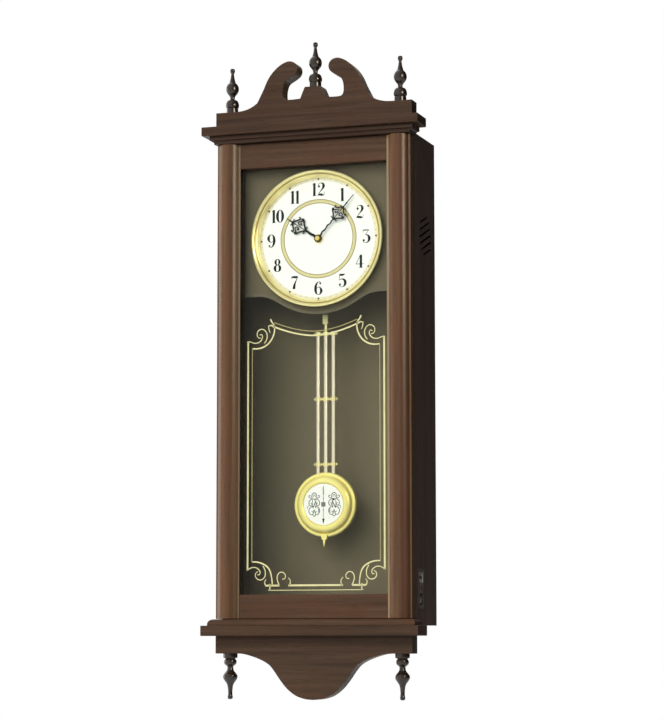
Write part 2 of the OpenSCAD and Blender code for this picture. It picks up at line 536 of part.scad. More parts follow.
// ---- door -------------------------------------------------------------------
col_x = hw - column_w / 2;
col_w = column_w / 2 - 2.2;            // half width of the round, between two flat fillets
col_r = (col_w * col_w + column_rise * column_rise) / (2 * column_rise);
module door_columns() color(wood) mirrored() union() {
    box([open_x, rail_y, door_lo], [hw, -104, door_hi]);
    intersection() {
        translate([col_x, rail_y - column_rise + col_r, door_lo]) cylinder(r = col_r, h = door_hi - door_lo, $fn = 120);
        box([open_x, rail_y - 40, door_lo - 1], [hw, rail_y + 1, door_hi + 1]);
    }
}
module door_stiles() color(wood) difference() {
    mirrored() difference() {
        box([open_x, -104, door_lo], [hw, door_y, door_hi]);
        box([open_x - 1, glass_y, open_lo - 5], [open_x + 5, door_y + 1, open_hi + 5]);
    }
    box([catch_x - 6, door_y - 1, catch_z - 15], [catch_x + 6, door_y + 1, catch_z + 15]);
}
catch_x = inner - 7; catch_z = Z(430);
module strike_plate() color(steel) box([catch_x - 6, door_y - 1, catch_z - 15], [catch_x + 6, door_y, catch_z + 15]);
module magnet_catch() color(white) box([inner - 13, by, catch_z - 15], [inner, by + 11, catch_z + 15]);
module door_rails() color(wood) for (z = [[open_hi, door_hi, -1], [door_lo, open_lo, 1]]) difference() {
    box([-open_x, rail_y, z[0]], [open_x, door_y, z[1]]);
    if (z[2] < 0) box([-open_x - 1, glass_y, open_hi - 1], [open_x + 1, door_y + 1, open_hi + 5]);
    else box([-open_x - 1, glass_y, open_lo - 5], [open_x + 1, door_y + 1, open_lo + 1]);
}
module door_glass() color([0.8, 0.85, 0.85, 0.25]) box([-open_x - 4.6, glass_y, open_lo - 4.6], [open_x + 4.6, glass_y + glass_t, open_hi + 4.6]);
module glass_beads() color(wood_dark) {
    y0 = glass_y + glass_t; y1 = y0 + 6;
    mirrored() box([open_x, y0, open_lo - 5], [open_x + 5, y1, open_hi + 5]);
    box([-open_x, y0, open_lo - 5], [open_x, y1, open_lo]);
    box([-open_x, y0, open_hi], [open_x, y1, open_hi + 5]);
}
// knuckle, leaf on the side board or on the door
hz = [door_lo + 70, door_hi - 70];
module leaf(z, on_door) difference() {
    union() {
        for (k = on_door ? [[-7, 7]] : [[-22, -7.2], [7.2, 22]]) {
            translate([hinge_x, hinge_y, z + k[0]]) cylinder(r = 2.3, h = k[1] - k[0]);
            box([-hw - 1, on_door ? hinge_y - 3 : hinge_y, z + k[0]], [-hw, on_door ? hinge_y : hinge_y + 3, z + k[1]]);
        }
        if (on_door) box([-hw - 1, -103.5, z - 22], [-hw, hinge_y - 2.6, z + 22]);
        else box([-hw - 1, hinge_y + 2.6, z - 22], [-hw, -76, z + 22]);
    }
    translate([hinge_x, hinge_y, z - 30]) cylinder(r = 1.25, h = 60);
}
module hinge_leaves_door() color(brass) for (z = hz) leaf(z, true);
module hinge_leaves_case() color(brass) for (z = hz) leaf(z, false);
module hinge_pins() color(brass) for (z = hz) translate([hinge_x, hinge_y, z - 24]) union() {
    cylinder(r = 1.2, h = 48);
    cylinder(r = 2, h = 1.8);
    translate([0, 0, 46.2]) cylinder(r = 2, h = 1.8);
}

case_side_left();
case_side_right();
case_top();
case_bottom();
back_panel();
back_hatch();
back_screws();
hanging_rail();
hanger_plate();
cornice_block();
cornice_cove();
cornice_slab();
pediment();
base_slab();
base_step();
base_cleat();
apron();
upper_finials();
lower_finials();
finial_studs();
dial_battens();
dial_board();
dial_board_trim();
dial();
bezel();
movement_case();
movement_cover();
dial_nut();
hour_hand();
hour_wheel();
minute_hand();
centre_arbor();
minute_wheel();
set_knob();
drive_coil();
circuit_board();
battery_holder();
batteries();
pendulum_hanger();
pendulum_clip();
pendulum_rods();
pendulum_crossbars();
pendulum_bob();
bob_medallion();
bob_back();
speaker();
control_plate();
slide_switch();
push_button();
volume_wheel();
door_stiles();
door_rails();
door_columns();
door_glass();
glass_beads();
hinge_leaves_door();
hinge_leaves_case();
hinge_pins();
magnet_catch();
strike_plate();
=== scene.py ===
import bpy
import bmesh
import json
import math
from mathutils import Matrix, Vector

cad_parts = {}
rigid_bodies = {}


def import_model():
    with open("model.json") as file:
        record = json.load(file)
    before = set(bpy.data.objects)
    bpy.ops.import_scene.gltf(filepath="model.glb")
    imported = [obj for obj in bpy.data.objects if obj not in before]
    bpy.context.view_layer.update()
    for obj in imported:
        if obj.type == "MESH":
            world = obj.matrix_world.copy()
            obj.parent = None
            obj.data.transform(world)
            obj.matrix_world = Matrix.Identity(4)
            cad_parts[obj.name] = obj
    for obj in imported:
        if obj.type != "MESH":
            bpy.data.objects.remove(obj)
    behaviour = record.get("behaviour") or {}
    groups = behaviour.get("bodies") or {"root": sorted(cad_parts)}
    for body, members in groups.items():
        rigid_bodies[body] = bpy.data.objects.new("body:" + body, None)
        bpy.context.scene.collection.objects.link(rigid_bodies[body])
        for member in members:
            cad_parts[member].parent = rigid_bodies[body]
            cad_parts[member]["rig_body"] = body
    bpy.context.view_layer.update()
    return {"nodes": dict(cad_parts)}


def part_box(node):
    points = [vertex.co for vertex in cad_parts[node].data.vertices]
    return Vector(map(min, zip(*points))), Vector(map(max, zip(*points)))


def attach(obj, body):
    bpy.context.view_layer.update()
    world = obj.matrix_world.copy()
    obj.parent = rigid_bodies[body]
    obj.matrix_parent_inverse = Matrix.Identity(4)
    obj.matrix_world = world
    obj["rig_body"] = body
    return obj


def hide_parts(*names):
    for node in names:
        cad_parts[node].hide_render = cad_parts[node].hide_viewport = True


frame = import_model()
NODES = frame["nodes"]
scene = bpy.context.scene
MM = 0.001


def Z(h):
    """height above the lowest tip, in mm, as a height in the frame, in mm"""
    return h - 716.0


def lin(r, g, b, a=1.0):
    def f(c):
        c = c / 255.0
        return c / 12.92 if c <= 0.04045 else ((c + 0.055) / 1.055) ** 2.4
    return (f(r), f(g), f(b), a)


# ---------------------------------------------------------------- camera ----
CAM_F, CAM_TH, CAM_TI, CAM_D, CAM_Z, CAM_PAN, CAM_ROLL = (
    2485.47, 0.331986, 0.112190, 3.24675, -0.63834, 0.009797, -0.000368)


def make_camera():
    r = Vector((math.cos(CAM_TH), math.sin(CAM_TH), 0))
    fw = Vector((-math.sin(CAM_TH), math.cos(CAM_TH), 0))
    pos = Vector((CAM_D * math.sin(CAM_TH), -0.134 - CAM_D * math.cos(CAM_TH), CAM_Z))
    up = Vector((0, 0, 1))
    fw2 = math.cos(CAM_TI) * fw + math.sin(CAM_TI) * up
    up2 = -math.sin(CAM_TI) * fw + math.cos(CAM_TI) * up
    c, s = math.cos(CAM_PAN), math.sin(CAM_PAN)
    r3 = c * r - s * fw2
    fw3 = s * r + c * fw2
    c, s = math.cos(CAM_ROLL), math.sin(CAM_ROLL)
    r4 = c * r3 - s * up2
    up4 = s * r3 + c * up2
    cam = bpy.data.cameras.new("camera")
    cam.sensor_fit = "AUTO"
    cam.sensor_width = 36.0
    cam.lens = CAM_F / 720.0 * 36.0
    cam.clip_start, cam.clip_end = 0.05, 60.0
    o = bpy.data.objects.new("camera", cam)
    scene.collection.objects.link(o)
    m = Matrix((r4, up4, -fw3)).transposed().to_4x4()
    m.translation = pos
    o.matrix_world = m
    scene.camera = o


make_camera()
scene.view_settings.view_transform = "Standard"
scene.view_settings.look = "None"


# ------------------------------------------------------------- materials ----
class Mat:
    """a node material, with short calls for the nodes used below"""

    def __init__(self, name):
        self.m = bpy.data.materials.new(name)
        self.m.use_nodes = True
        self.t = self.m.node_tree
        self.t.nodes.clear()
        self.out = self.t.nodes.new("ShaderNodeOutputMaterial")
        self.p = self.t.nodes.new("ShaderNodeBsdfPrincipled")
        self.t.links.new(self.p.outputs[0], self.out.inputs[0])
        self.co = self.t.nodes.new("ShaderNodeTexCoord").outputs["Object"]

    def set(self, **kw):
        names = {"metal": "Metallic", "rough": "Roughness", "ior": "IOR", "coat": "Coat Weight",
                 "coat_rough": "Coat Roughness", "spec": "Specular IOR Level", "base": "Base Color",
                 "alpha": "Alpha", "aniso": "Anisotropic"}
        for k, v in kw.items():
            self.p.inputs[names[k]].default_value = v
        return self

    def link(self, a, b):
        self.t.links.new(a, b)
        return self

    def map(self, scale, rot=(0, 0, 0), loc=(0, 0, 0), co=None):
        n = self.t.nodes.new("ShaderNodeMapping")
        n.inputs["Scale"].default_value = scale
        n.inputs["Rotation"].default_value = rot
        n.inputs["Location"].default_value = loc
        self.link(co or self.co, n.inputs["Vector"])
        return n.outputs[0]

    def noise(self, vec, scale=1.0, detail=4.0, rough=0.55, dist=0.0):
        n = self.t.nodes.new("ShaderNodeTexNoise")
        n.inputs["Scale"].default_value = scale
        n.inputs["Detail"].default_value = detail
        n.inputs["Roughness"].default_value = rough
        n.inputs["Distortion"].default_value = dist
        self.link(vec, n.inputs["Vector"])
        return n.outputs["Fac"]

    def wave(self, vec, scale, dist, detail=2.0, dscale=1.0, kind="BANDS", direction="X"):
        n = self.t.nodes.new("ShaderNodeTexWave")
        n.wave_type = kind
        if kind == "BANDS":
            n.bands_direction = direction
        else:
            n.rings_direction = direction
        n.inputs["Scale"].default_value = scale
        n.inputs["Distortion"].default_value = dist
        n.inputs["Detail"].default_value = detail
        n.inputs["Detail Scale"].default_value = dscale
        self.link(vec, n.inputs["Vector"])
        return n.outputs["Fac"]

    def ramp(self, fac, stops):
        n = self.t.nodes.new("ShaderNodeValToRGB")
        e = n.color_ramp.elements
        e[0].position, e[0].color = stops[0]
        e[1].position, e[1].color = stops[-1]
        for pos, col in stops[1:-1]:
            x = e.new(pos)
            x.color = col
        self.link(fac, n.inputs[0])
        return n.outputs["Color"]

    def mix(self, fac, a, b, mode="MIX"):
        n = self.t.nodes.new("ShaderNodeMix")
        n.data_type = "RGBA"
        n.blend_type = mode
        for s, v in ((n.inputs[0], fac), (n.inputs[6], a), (n.inputs[7], b)):
            if hasattr(v, "is_linked"):
                self.link(v, s)
            else:
                s.default_value = v
        return n.outputs[2]

    def rng(self, fac, lo, hi, a, b):
        n = self.t.nodes.new("ShaderNodeMapRange")
        n.inputs["From Min"].default_value = lo
        n.inputs["From Max"].default_value = hi
        n.inputs["To Min"].default_value = a
        n.inputs["To Max"].default_value = b
        self.link(fac, n.inputs["Value"])
        return n.outputs["Result"]

    def math(self, op, a, b=0.0):
        n = self.t.nodes.new("ShaderNodeMath")
        n.operation = op
        for s, v in ((n.inputs[0], a), (n.inputs[1], b)):
            if hasattr(v, "is_linked"):
                self.link(v, s)
            else:
                s.default_value = v
        return n.outputs[0]

    def bump(self, height, strength, dist=0.0002, soft=0.0):
        n = self.t.nodes.new("ShaderNodeBump")
        if soft:
            b = self.t.nodes.new("ShaderNodeBevel")
            b.samples = 4
            b.inputs["Radius"].default_value = soft
            self.link(b.outputs[0], n.inputs["Normal"])
        n.inputs["Strength"].default_value = strength
        n.inputs["Distance"].default_value = dist
        self.link(height, n.inputs["Height"])
        self.link(n.outputs[0], self.p.inputs["Normal"])
        return self

    def edges(self, radius):
        """1 along outer and inner edges, 0 on flat ground"""
        b = self.t.nodes.new("ShaderNodeBevel")
        b.samples = 4
        b.inputs["Radius"].default_value = radius
        g = self.t.nodes.new("ShaderNodeNewGeometry")
        d = self.t.nodes.new("ShaderNodeVectorMath")
        d.operation = "DOT_PRODUCT"
        self.link(b.outputs[0], d.inputs[0])
        self.link(g.outputs["Normal"], d.inputs[1])
        return self.rng(d.outputs["Value"], 0.995, 0.85, 0.0, 1.0)


def wood(name, dark, mid, light, grain="Z", seed=0.0, rough=0.42, edge_wear_and_highlight=0.25, coat=0.0, red=0.3, spec=0.16, round_r=0.0008, inner_lining_and_shade=None, coat_rough=0.16, shaded_slots=None, painted_column_light_and_shade=None, lit_scroll_reach=0.0):
    m = Mat(name)

    def along(w, l):
        return {"X": (l, w, w), "Z": (w, w, l), "Y": (w, l, w)}[grain]
    off = (seed, seed * 0.7, seed * 1.3)
    fine = m.noise(m.map(along(420, 9), loc=off), 1.0, 4, 0.55, 0.4)
    broad = m.noise(m.map(along(70, 3.2), loc=off), 1.0, 4, 0.55, 0.8)
    figure = m.wave(m.map(along(26, 2.0), loc=off), 1.0, 7.0, 3.0, 1.2, direction="X" if grain != "X" else "Z")
    g = m.math("ADD", m.math("ADD", m.math("MULTIPLY", fine, 0.42), m.math("MULTIPLY", broad, 0.48)), m.math("MULTIPLY", figure, 0.10))
    col = m.ramp(g, [(0.34, dark), (0.50, mid), (0.66, light)])
    # blotches of a redder stain
    blot = m.noise(m.map(along(42, 16), loc=(seed * 2.1, seed, 0.4)), 1.0, 4, 0.6)
    redder = (mid[0] * 1.16, mid[1] * 0.90, mid[2] * 0.82, 1)
    col = m.mix(m.rng(blot, 0.42, 0.68, 0.0, red), col, redder)
    slow = m.noise(m.map((5.0, 5.0, 3.4), loc=off), 1.0, 2, 0.5)
    col = m.mix(m.rng(slow, 0.3, 0.7, 0.0, 0.30), col, (dark[0] * 0.9, dark[1] * 0.9, dark[2] * 0.9, 1))
    # open pores
    pores = m.noise(m.map(along(1300, 60), loc=off), 1.0, 2, 0.5)
    pf = m.rng(pores, 0.60, 0.70, 0.0, 0.5)
    col = m.mix(pf, col, (dark[0] * 0.4, dark[1] * 0.4, dark[2] * 0.4, 1))
    # rubbed edges, lighter along the arrises: partly wear, partly a painted highlight
    e = m.edges(0.0010)
    chips = m.noise(m.map((150, 150, 150)), 1.0, 3, 0.6)
    e2 = m.math("MULTIPLY", e, m.rng(chips, 0.35, 0.7, 0.15, 1.0))
    col = m.mix(m.math("MULTIPLY", e2, edge_wear_and_highlight), col, (light[0] * 1.7, light[1] * 1.6, light[2] * 1.5, 1))
    if lit_scroll_reach:
        # painted light: the cut faces of the scrolls near the middle that turn to the right are made lighter, as if lit
        # from the right
        gn = m.t.nodes.new("ShaderNodeSeparateXYZ")
        m.link(m.t.nodes.new("ShaderNodeNewGeometry").outputs["Normal"], gn.inputs[0])
        gx = m.t.nodes.new("ShaderNodeSeparateXYZ")
        m.link(m.co, gx.inputs[0])
        scroll_light = m.math("MULTIPLY", m.rng(gn.outputs[0], 0.2, 0.6, 0.0, 0.55), m.rng(m.math("ABSOLUTE", gx.outputs[0]), lit_scroll_reach - 0.01, lit_scroll_reach, 1.0, 0.0))
        col = m.mix(scroll_light, col, lin(158, 138, 108))
    if painted_column_light_and_shade:
        # painted highlights on the arrises: along the opening on either side, and along the outer right
        x0, x1, colour = painted_column_light_and_shade
        px = m.t.nodes.new("ShaderNodeSeparateXYZ")
        m.link(m.co, px.inputs[0])
        x = px.outputs[0]
        col = m.mix(m.math("MULTIPLY", m.rng(x, x0 + 0.0030, x0 + 0.0058, 0.36, 0.0), m.rng(x, 0.0, 0.001, 0.0, 1.0)), col, colour)
        col = m.mix(m.math("MULTIPLY", m.rng(x, -x0 - 0.0066, -x0 - 0.0040, 0.0, 0.18), m.rng(x, -0.001, 0.0, 1.0, 0.0)), col, colour)
        col = m.mix(m.rng(x, x1 - 0.0036, x1 - 0.0022, 0.0, 0.03), col, colour)
        # painted shade: a darker, redder band on the shoulder of the right column, where it turns away from the light
        col = m.mix(m.math("MULTIPLY", m.rng(x, x1 - 0.0145, x1 - 0.0115, 0.0, 0.42), m.rng(x, x1 - 0.0070, x1 - 0.0045, 1.0, 0.0)), col, lin(86, 44, 28))
    if inner_lining_and_shade:
        # faces nearer the middle than this distance take another colour: the olive lining inside the case, and painted
        # shade on the door's reveal
        limit, tint = inner_lining_and_shade[:2]
        sp = m.t.nodes.new("ShaderNodeSeparateXYZ")
        m.link(m.co, sp.inputs[0])
        near = m.rng(m.math("ABSOLUTE", sp.outputs[0]), limit + 0.0001, limit + 0.0004, 1.0, 0.0)
        if len(inner_lining_and_shade) > 2:
            zlo, zhi = inner_lining_and_shade[2]
            near = m.math("MULTIPLY", near, m.math("MULTIPLY", m.rng(sp.outputs[2], zlo - 0.0004, zlo - 0.0001, 0.0, 1.0), m.rng(sp.outputs[2], zhi + 0.0001, zhi + 0.0004, 1.0, 0.0)))
        inner_colour = m.mix(m.rng(fine, 0.3, 0.7, 0.0, 1.0), tuple(c * 0.9 for c in tint[:3]) + (1,), tuple(c * 1.1 for c in tint[:3]) + (1,))
        col = m.mix(near, col, inner_colour)
    if shaded_slots:
        # painted shade on the walls of slots cut through the board, within a distance of a point on its outer face
        centre, reach = shaded_slots
        away = m.t.nodes.new("ShaderNodeVectorMath")
        away.operation = "DISTANCE"
        m.link(m.co, away.inputs[0])
        away.inputs[1].default_value = centre
        sx = m.t.nodes.new("ShaderNodeSeparateXYZ")
        m.link(m.co, sx.inputs[0])
        slot_shade = m.math("MULTIPLY", m.rng(sx.outputs[0], centre[0] - 0.0001, centre[0] - 0.0004, 0.0, 1.0),
                      m.rng(away.outputs["Value"], reach - 0.001, reach, 1.0, 0.0))
        col = m.mix(slot_shade, col, lin(14, 11, 10))
    m.link(col, m.p.inputs["Base Color"])
    m.link(m.rng(m.noise(m.map((22, 22, 22)), 1.0, 4, 0.6), 0.3, 0.7, rough - 0.05, rough + 0.07), m.p.inputs["Roughness"])
    m.set(coat=coat, coat_rough=coat_rough, spec=spec)
    m.bump(m.math("SUBTRACT", fine, m.math("MULTIPLY", pf, 0.7)), 0.22, 0.00012, soft=round_r)
    return m.m


def tone(r, g, b, k=0.16):
    """dark, middle and light colours around one"""
    c = lin(r, g, b)
    return (tuple(x * (1 - k * 1.5) for x in c[:3]) + (1,), c, tuple(x * (1 + k * 1.5) for x in c[:3]) + (1,))


open_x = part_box("door_rails")[1][0]
inner_x = -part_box("case_side_left")[1][0]
wood_x = wood("walnut across", *tone(64, 47, 35, 0.28), "X", 1.0, spec=0.11, red=0.5)
wood_pediment = wood("walnut pediment", *tone(64, 47, 35, 0.28), "X", 1.0, spec=0.11, red=0.5, lit_scroll_reach=0.075)
wood_x2 = wood("walnut across, second board", *tone(69, 52, 39, 0.26), "X", 5.3, spec=0.11, red=0.5)
wood_rail = wood("walnut rails", *tone(76, 56, 41, 0.24), "X", 9.1, spec=0.11, red=0.75)
wood_apron = wood("walnut apron", *tone(71, 54, 41, 0.24), "X", 11.7, spec=0.11, red=0.5)
# the columns carry painted highlights along their arrises and painted shade on the right shoulder
wood_z = wood("walnut columns", *tone(87, 59, 35, 0.24), "Z", 2.0, rough=0.36, coat=0.26, spec=0.16, red=0.65, coat_rough=0.26, painted_column_light_and_shade=(open_x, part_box("door_columns")[1][0], lin(178, 160, 126)), inner_lining_and_shade=(open_x, lin(30, 22, 16)))
# the reveal faces along the door's opening, on the columns above and on these stiles, are painted near-black as shade
wood_z2 = wood("walnut stiles", *tone(84, 62, 46), "Z", 7.0, inner_lining_and_shade=(open_x, lin(30, 22, 16)))
side_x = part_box("case_side_right")[1][0]
room = (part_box("case_bottom")[1][2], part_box("case_top")[0][2])
wood_side = wood("walnut side", *tone(70, 53, 42, 0.24), "Z", 3.0, rough=0.45, edge_wear_and_highlight=0.15, coat=0.0, spec=0.12, inner_lining_and_shade=(inner_x, lin(104, 95, 72), room))
# the right side board's walnut is lighter than the left one's: painted light on the side that stands in shade
wood_side_r = wood("walnut side, right", *tone(93, 76, 68, 0.24), "Z", 3.0, rough=0.45, edge_wear_and_highlight=0.15, coat=0.0, spec=0.12, inner_lining_and_shade=(inner_x, lin(104, 95, 72), room),
                   shaded_slots=((side_x, -0.045, Z(615.0) * MM), 0.032))
wood_dark_x = wood("walnut dark across", *tone(54, 41, 32), "X", 4.0, edge_wear_and_highlight=0.2)
wood_turned = wood("walnut turned", *tone(40, 29, 21), "Z", 6.0, rough=0.2, edge_wear_and_highlight=0.6, coat=0.4, spec=0.3)
# the cove's walnut is darker than the slab's: painted shade under the overhang
wood_cove = wood("walnut cove", *tone(60, 45, 35, 0.24), "X", 5.3, spec=0.11, red=0.4)
wood_inner = wood("softwood inner", *tone(150, 126, 92), "Y", 8.0, rough=0.6, edge_wear_and_highlight=0.1, coat=0.0, red=0.1)


def paint(name, base, rough=0.6, spread=0.06, scale=60.0, bump=0.15, metal=0.0, coat=0.0, spec=0.5, insert=False):
    m = Mat(name)
    n = m.noise(m.map((scale,) * 3), 1.0, 5, 0.6)
    big = m.noise(m.map((4.0, 4.0, 4.0)), 1.0, 3, 0.5)
    f = m.math("ADD", m.math("MULTIPLY", n, 0.5), m.math("MULTIPLY", big, 0.5))
    lo = tuple(c * (1 - spread) for c in base[:3]) + (1,)
    hi = tuple(min(1.0, c * (1 + spread)) for c in base[:3]) + (1,)
    col = m.ramp(f, [(0.35, lo), (0.65, hi)])
    if insert:
        # the sunk window around the switch is moulded in white
        sp = m.t.nodes.new("ShaderNodeSeparateXYZ")
        m.link(m.co, sp.inputs[0])
        zc = Z(144.5) * MM
        win = m.math("MULTIPLY", m.rng(sp.outputs[2], zc + 0.0079, zc + 0.0080, 0.0, 1.0), m.rng(sp.outputs[2], zc + 0.0210, zc + 0.0211, 1.0, 0.0))
        win = m.math("MULTIPLY", win, m.rng(m.math("ABSOLUTE", m.math("ADD", sp.outputs[1], 0.075)), 0.00795, 0.0081, 1.0, 0.0))
        col = m.mix(win, col, lin(235, 228, 220))
        # paler lips: a ring around the button and the two ends of the wheel's window
        dy = m.math("ADD", sp.outputs[1], 0.075)
        dz2 = m.math("SUBTRACT", sp.outputs[2], zc + 0.001)
        rr = m.math("SQRT", m.math("ADD", m.math("MULTIPLY", dy, dy), m.math("MULTIPLY", dz2, dz2)))
        ring = m.rng(rr, 0.0062, 0.0068, 0.8, 0.0)
        dw = m.math("ABSOLUTE", m.math("SUBTRACT", sp.outputs[2], zc - 0.0142))
        lip = m.math("MULTIPLY", m.rng(dw, 0.0084, 0.0088, 0.9, 0.0), m.rng(m.math("ABSOLUTE", dy), 0.0072, 0.0078, 1.0, 0.0))
        col = m.mix(m.math("MAXIMUM", ring, lip), col, lin(150, 132, 120))
    m.link(col, m.p.inputs["Base Color"])
    m.link(m.rng(n, 0.3, 0.7, rough - 0.05, rough + 0.05), m.p.inputs["Roughness"])
    m.set(metal=metal, coat=coat, spec=spec)
    m.bump(m.noise(m.map((scale * 12,) * 3), 1.0, 2, 0.5), bump, 0.00005)
    return m.m


def metal(name, base, rough=0.2, brush=None, tarnish=None, amount=0.3, share=1.0, groove_shade=None):
    m = Mat(name)
    v = m.map(brush or (300, 300, 300))
    n = m.noise(v, 1.0, 4, 0.6)
    stain = m.noise(m.map((45, 45, 45)), 1.0, 5, 0.65)
    t = tarnish or tuple(c * 0.6 for c in base[:3]) + (1,)
    col = m.mix(m.rng(stain, 0.45, 0.75, 0.0, amount), base, t)
    if groove_shade:
        # painted shade in a turned groove, given as the height of its axis and two radii
        height, ra, rb = groove_shade
        flat = m.map((1, 0, 1))
        d = m.t.nodes.new("ShaderNodeVectorMath")
        d.operation = "DISTANCE"
        m.link(flat, d.inputs[0])
        d.inputs[1].default_value = (0, 0, height)
        r = d.outputs["Value"]
        groove_dark = m.math("MULTIPLY", m.rng(r, ra - 0.0003, ra + 0.0002, 0.0, 0.55), m.rng(r, rb - 0.0002, rb + 0.0003, 1.0, 0.0))
        col = m.mix(groove_dark, col, lin(150, 126, 62))
    m.link(col, m.p.inputs["Base Color"])
    m.link(m.rng(n, 0.25, 0.75, rough - 0.04, rough + 0.07), m.p.inputs["Roughness"])
    m.set(metal=share)
    m.bump(n, 0.05, 0.00004)
    return m.m


olive = paint("olive panel", lin(106, 97, 75), 0.7, 0.04, 90.0, 0.2, spec=0.15)
# the back panel's olive is lighter than the dial board's: painted light in the recess behind the dial
olive_back = paint("olive panel, back", lin(120, 111, 87), 0.7, 0.05, 70.0, 0.2, spec=0.12)
olive_trim = paint("olive edge", lin(106, 99, 78), 0.6, 0.05, 90.0, 0.2, spec=0.2)
gold = metal("gold plate", lin(252, 232, 136), 0.42, tarnish=lin(240, 208, 104), amount=0.35)
gold_bezel = metal("gold bezel", lin(254, 242, 178), 0.30, (30, 30, 30), tarnish=lin(228, 206, 122), amount=0.5, share=0.85,
                   groove_shade=(Z(611.6) * MM, 0.0866, 0.0882))
gold_bob = metal("gold plate, bob", lin(255, 243, 150), 0.36, tarnish=lin(252, 220, 112), amount=0.45, share=0.28)
silver = metal("silver rod", lin(250, 242, 222), 0.38, (900, 900, 20), tarnish=lin(214, 204, 184), share=0.7)
pale_gold = metal("pale gold plate", lin(255, 246, 186), 0.36, tarnish=lin(236, 216, 140), amount=0.35, share=0.6)
brass = metal("brass", lin(204, 172, 98), 0.30)
steel = metal("zinc steel", lin(176, 178, 180), 0.36, (240, 240, 240))
black_hand = paint("black lacquer", lin(10, 10, 10), 0.4, 0.2, 200.0, 0.1, spec=0.25)
ink = paint("black ink", lin(16, 16, 18), 0.6, 0.2, 300.0, 0.05, spec=0.2)
ink_needle = paint("grey ink, needle", lin(118, 118, 114), 0.5, 0.1, 300.0, 0.05)
ink_olive = paint("olive ink", lin(88, 90, 72), 0.5, 0.2, 300.0, 0.05)
track_beige = paint("dial track band", lin(232, 226, 200), 0.5, 0.03, 200.0, 0.05)
ink_grey = paint("grey ink", lin(126, 120, 108), 0.55, 0.1, 300.0, 0.05)
ink_gold = metal("gold print", lin(250, 240, 184), 0.40, (60, 60, 60), tarnish=lin(222, 206, 134), amount=0.6, share=0.7)
ink_gold2 = metal("gold print, thin lines", lin(206, 192, 132), 0.40, (60, 60, 60), tarnish=lin(170, 156, 98), amount=0.6)
ring_line = metal("dial ring line", lin(168, 150, 96), 0.40, (60, 60, 60), tarnish=lin(200, 184, 128), amount=0.5)
ring_gold = metal("dial ring gold", lin(246, 236, 178), 0.40, (60, 60, 60), tarnish=lin(226, 214, 160), amount=0.5)
dial_white = paint("dial white", lin(251, 252, 245), 0.5, 0.012, 120.0, 0.06)
cream_white = paint("medallion white", lin(255, 254, 246), 0.4, 0.012, 120.0, 0.06)
black_pl = paint("black plastic", lin(26, 26, 27), 0.5, 0.15, 150.0, 0.3)
dark_pl = paint("umber plastic", lin(80, 68, 60), 0.42, 0.08, 150.0, 0.3)
plate_pl = paint("umber plastic with a pale insert", lin(86, 73, 64), 0.42, 0.08, 150.0, 0.3, insert=True)
grey_pl = paint("grey plastic", lin(96, 88, 84), 0.45, 0.06, 150.0, 0.3)
white_pl = paint("white plastic", lin(225, 222, 212), 0.45, 0.04, 150.0, 0.2)
green_bd = paint("green board", lin(22, 84, 46), 0.35, 0.12, 200.0, 0.2)
cell = paint("cell jacket", lin(70, 76, 92), 0.3, 0.06, 80.0, 0.05, metal=0.4)
copper = metal("enamelled wire", lin(176, 92, 48), 0.3, (40, 40, 4000))


def make_glass():
    m = Mat("window glass")
    t = m.t
    tr = t.nodes.new("ShaderNodeBsdfTransparent")
    tr.inputs["Color"].default_value = (0.965, 0.975, 0.965, 1)
    gl = m.p
    gl.inputs["Base Color"].default_value = (0.6, 0.62, 0.6, 1)
    m.set(rough=0.03, spec=0.6)
    fr = t.nodes.new("ShaderNodeFresnel")
    fr.inputs["IOR"].default_value = 1.45
    haze = m.noise(m.map((6, 6, 3)), 1.0, 3, 0.5)
    fac = m.math("ADD", m.math("MULTIPLY", fr.outputs[0], 0.22), m.rng(haze, 0.3, 0.7, 0.002, 0.008))
    mix = t.nodes.new("ShaderNodeMixShader")
    m.link(fac, mix.inputs[0])
    m.link(tr.outputs[0], mix.inputs[1])
    m.link(gl.outputs[0], mix.inputs[2])
    m.link(mix.outputs[0], m.out.inputs[0])
    return m.m


glass = make_glass()


# ---------------------------------------------------------------- meshes ----
def give(o, material):
    o.data.materials.clear()
    o.data.materials.append(material)


def piece(name, me, body, material):
    o = bpy.data.objects.new(name, me)
    scene.collection.objects.link(o)
    give(o, material)
    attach(o, body)
    return o


def body_of(node):
    return NODES[node]["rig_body"]


def bake_modifiers(o, sharp=35.0):
    """the object's mesh with its modifiers applied"""
    dg = bpy.context.evaluated_depsgraph_get()
    dg.update()
    me = bpy.data.meshes.new_from_object(o.evaluated_get(dg))
    old = o.data
    o.modifiers.clear()
    o.data = me
    bpy.data.meshes.remove(old)
    return o


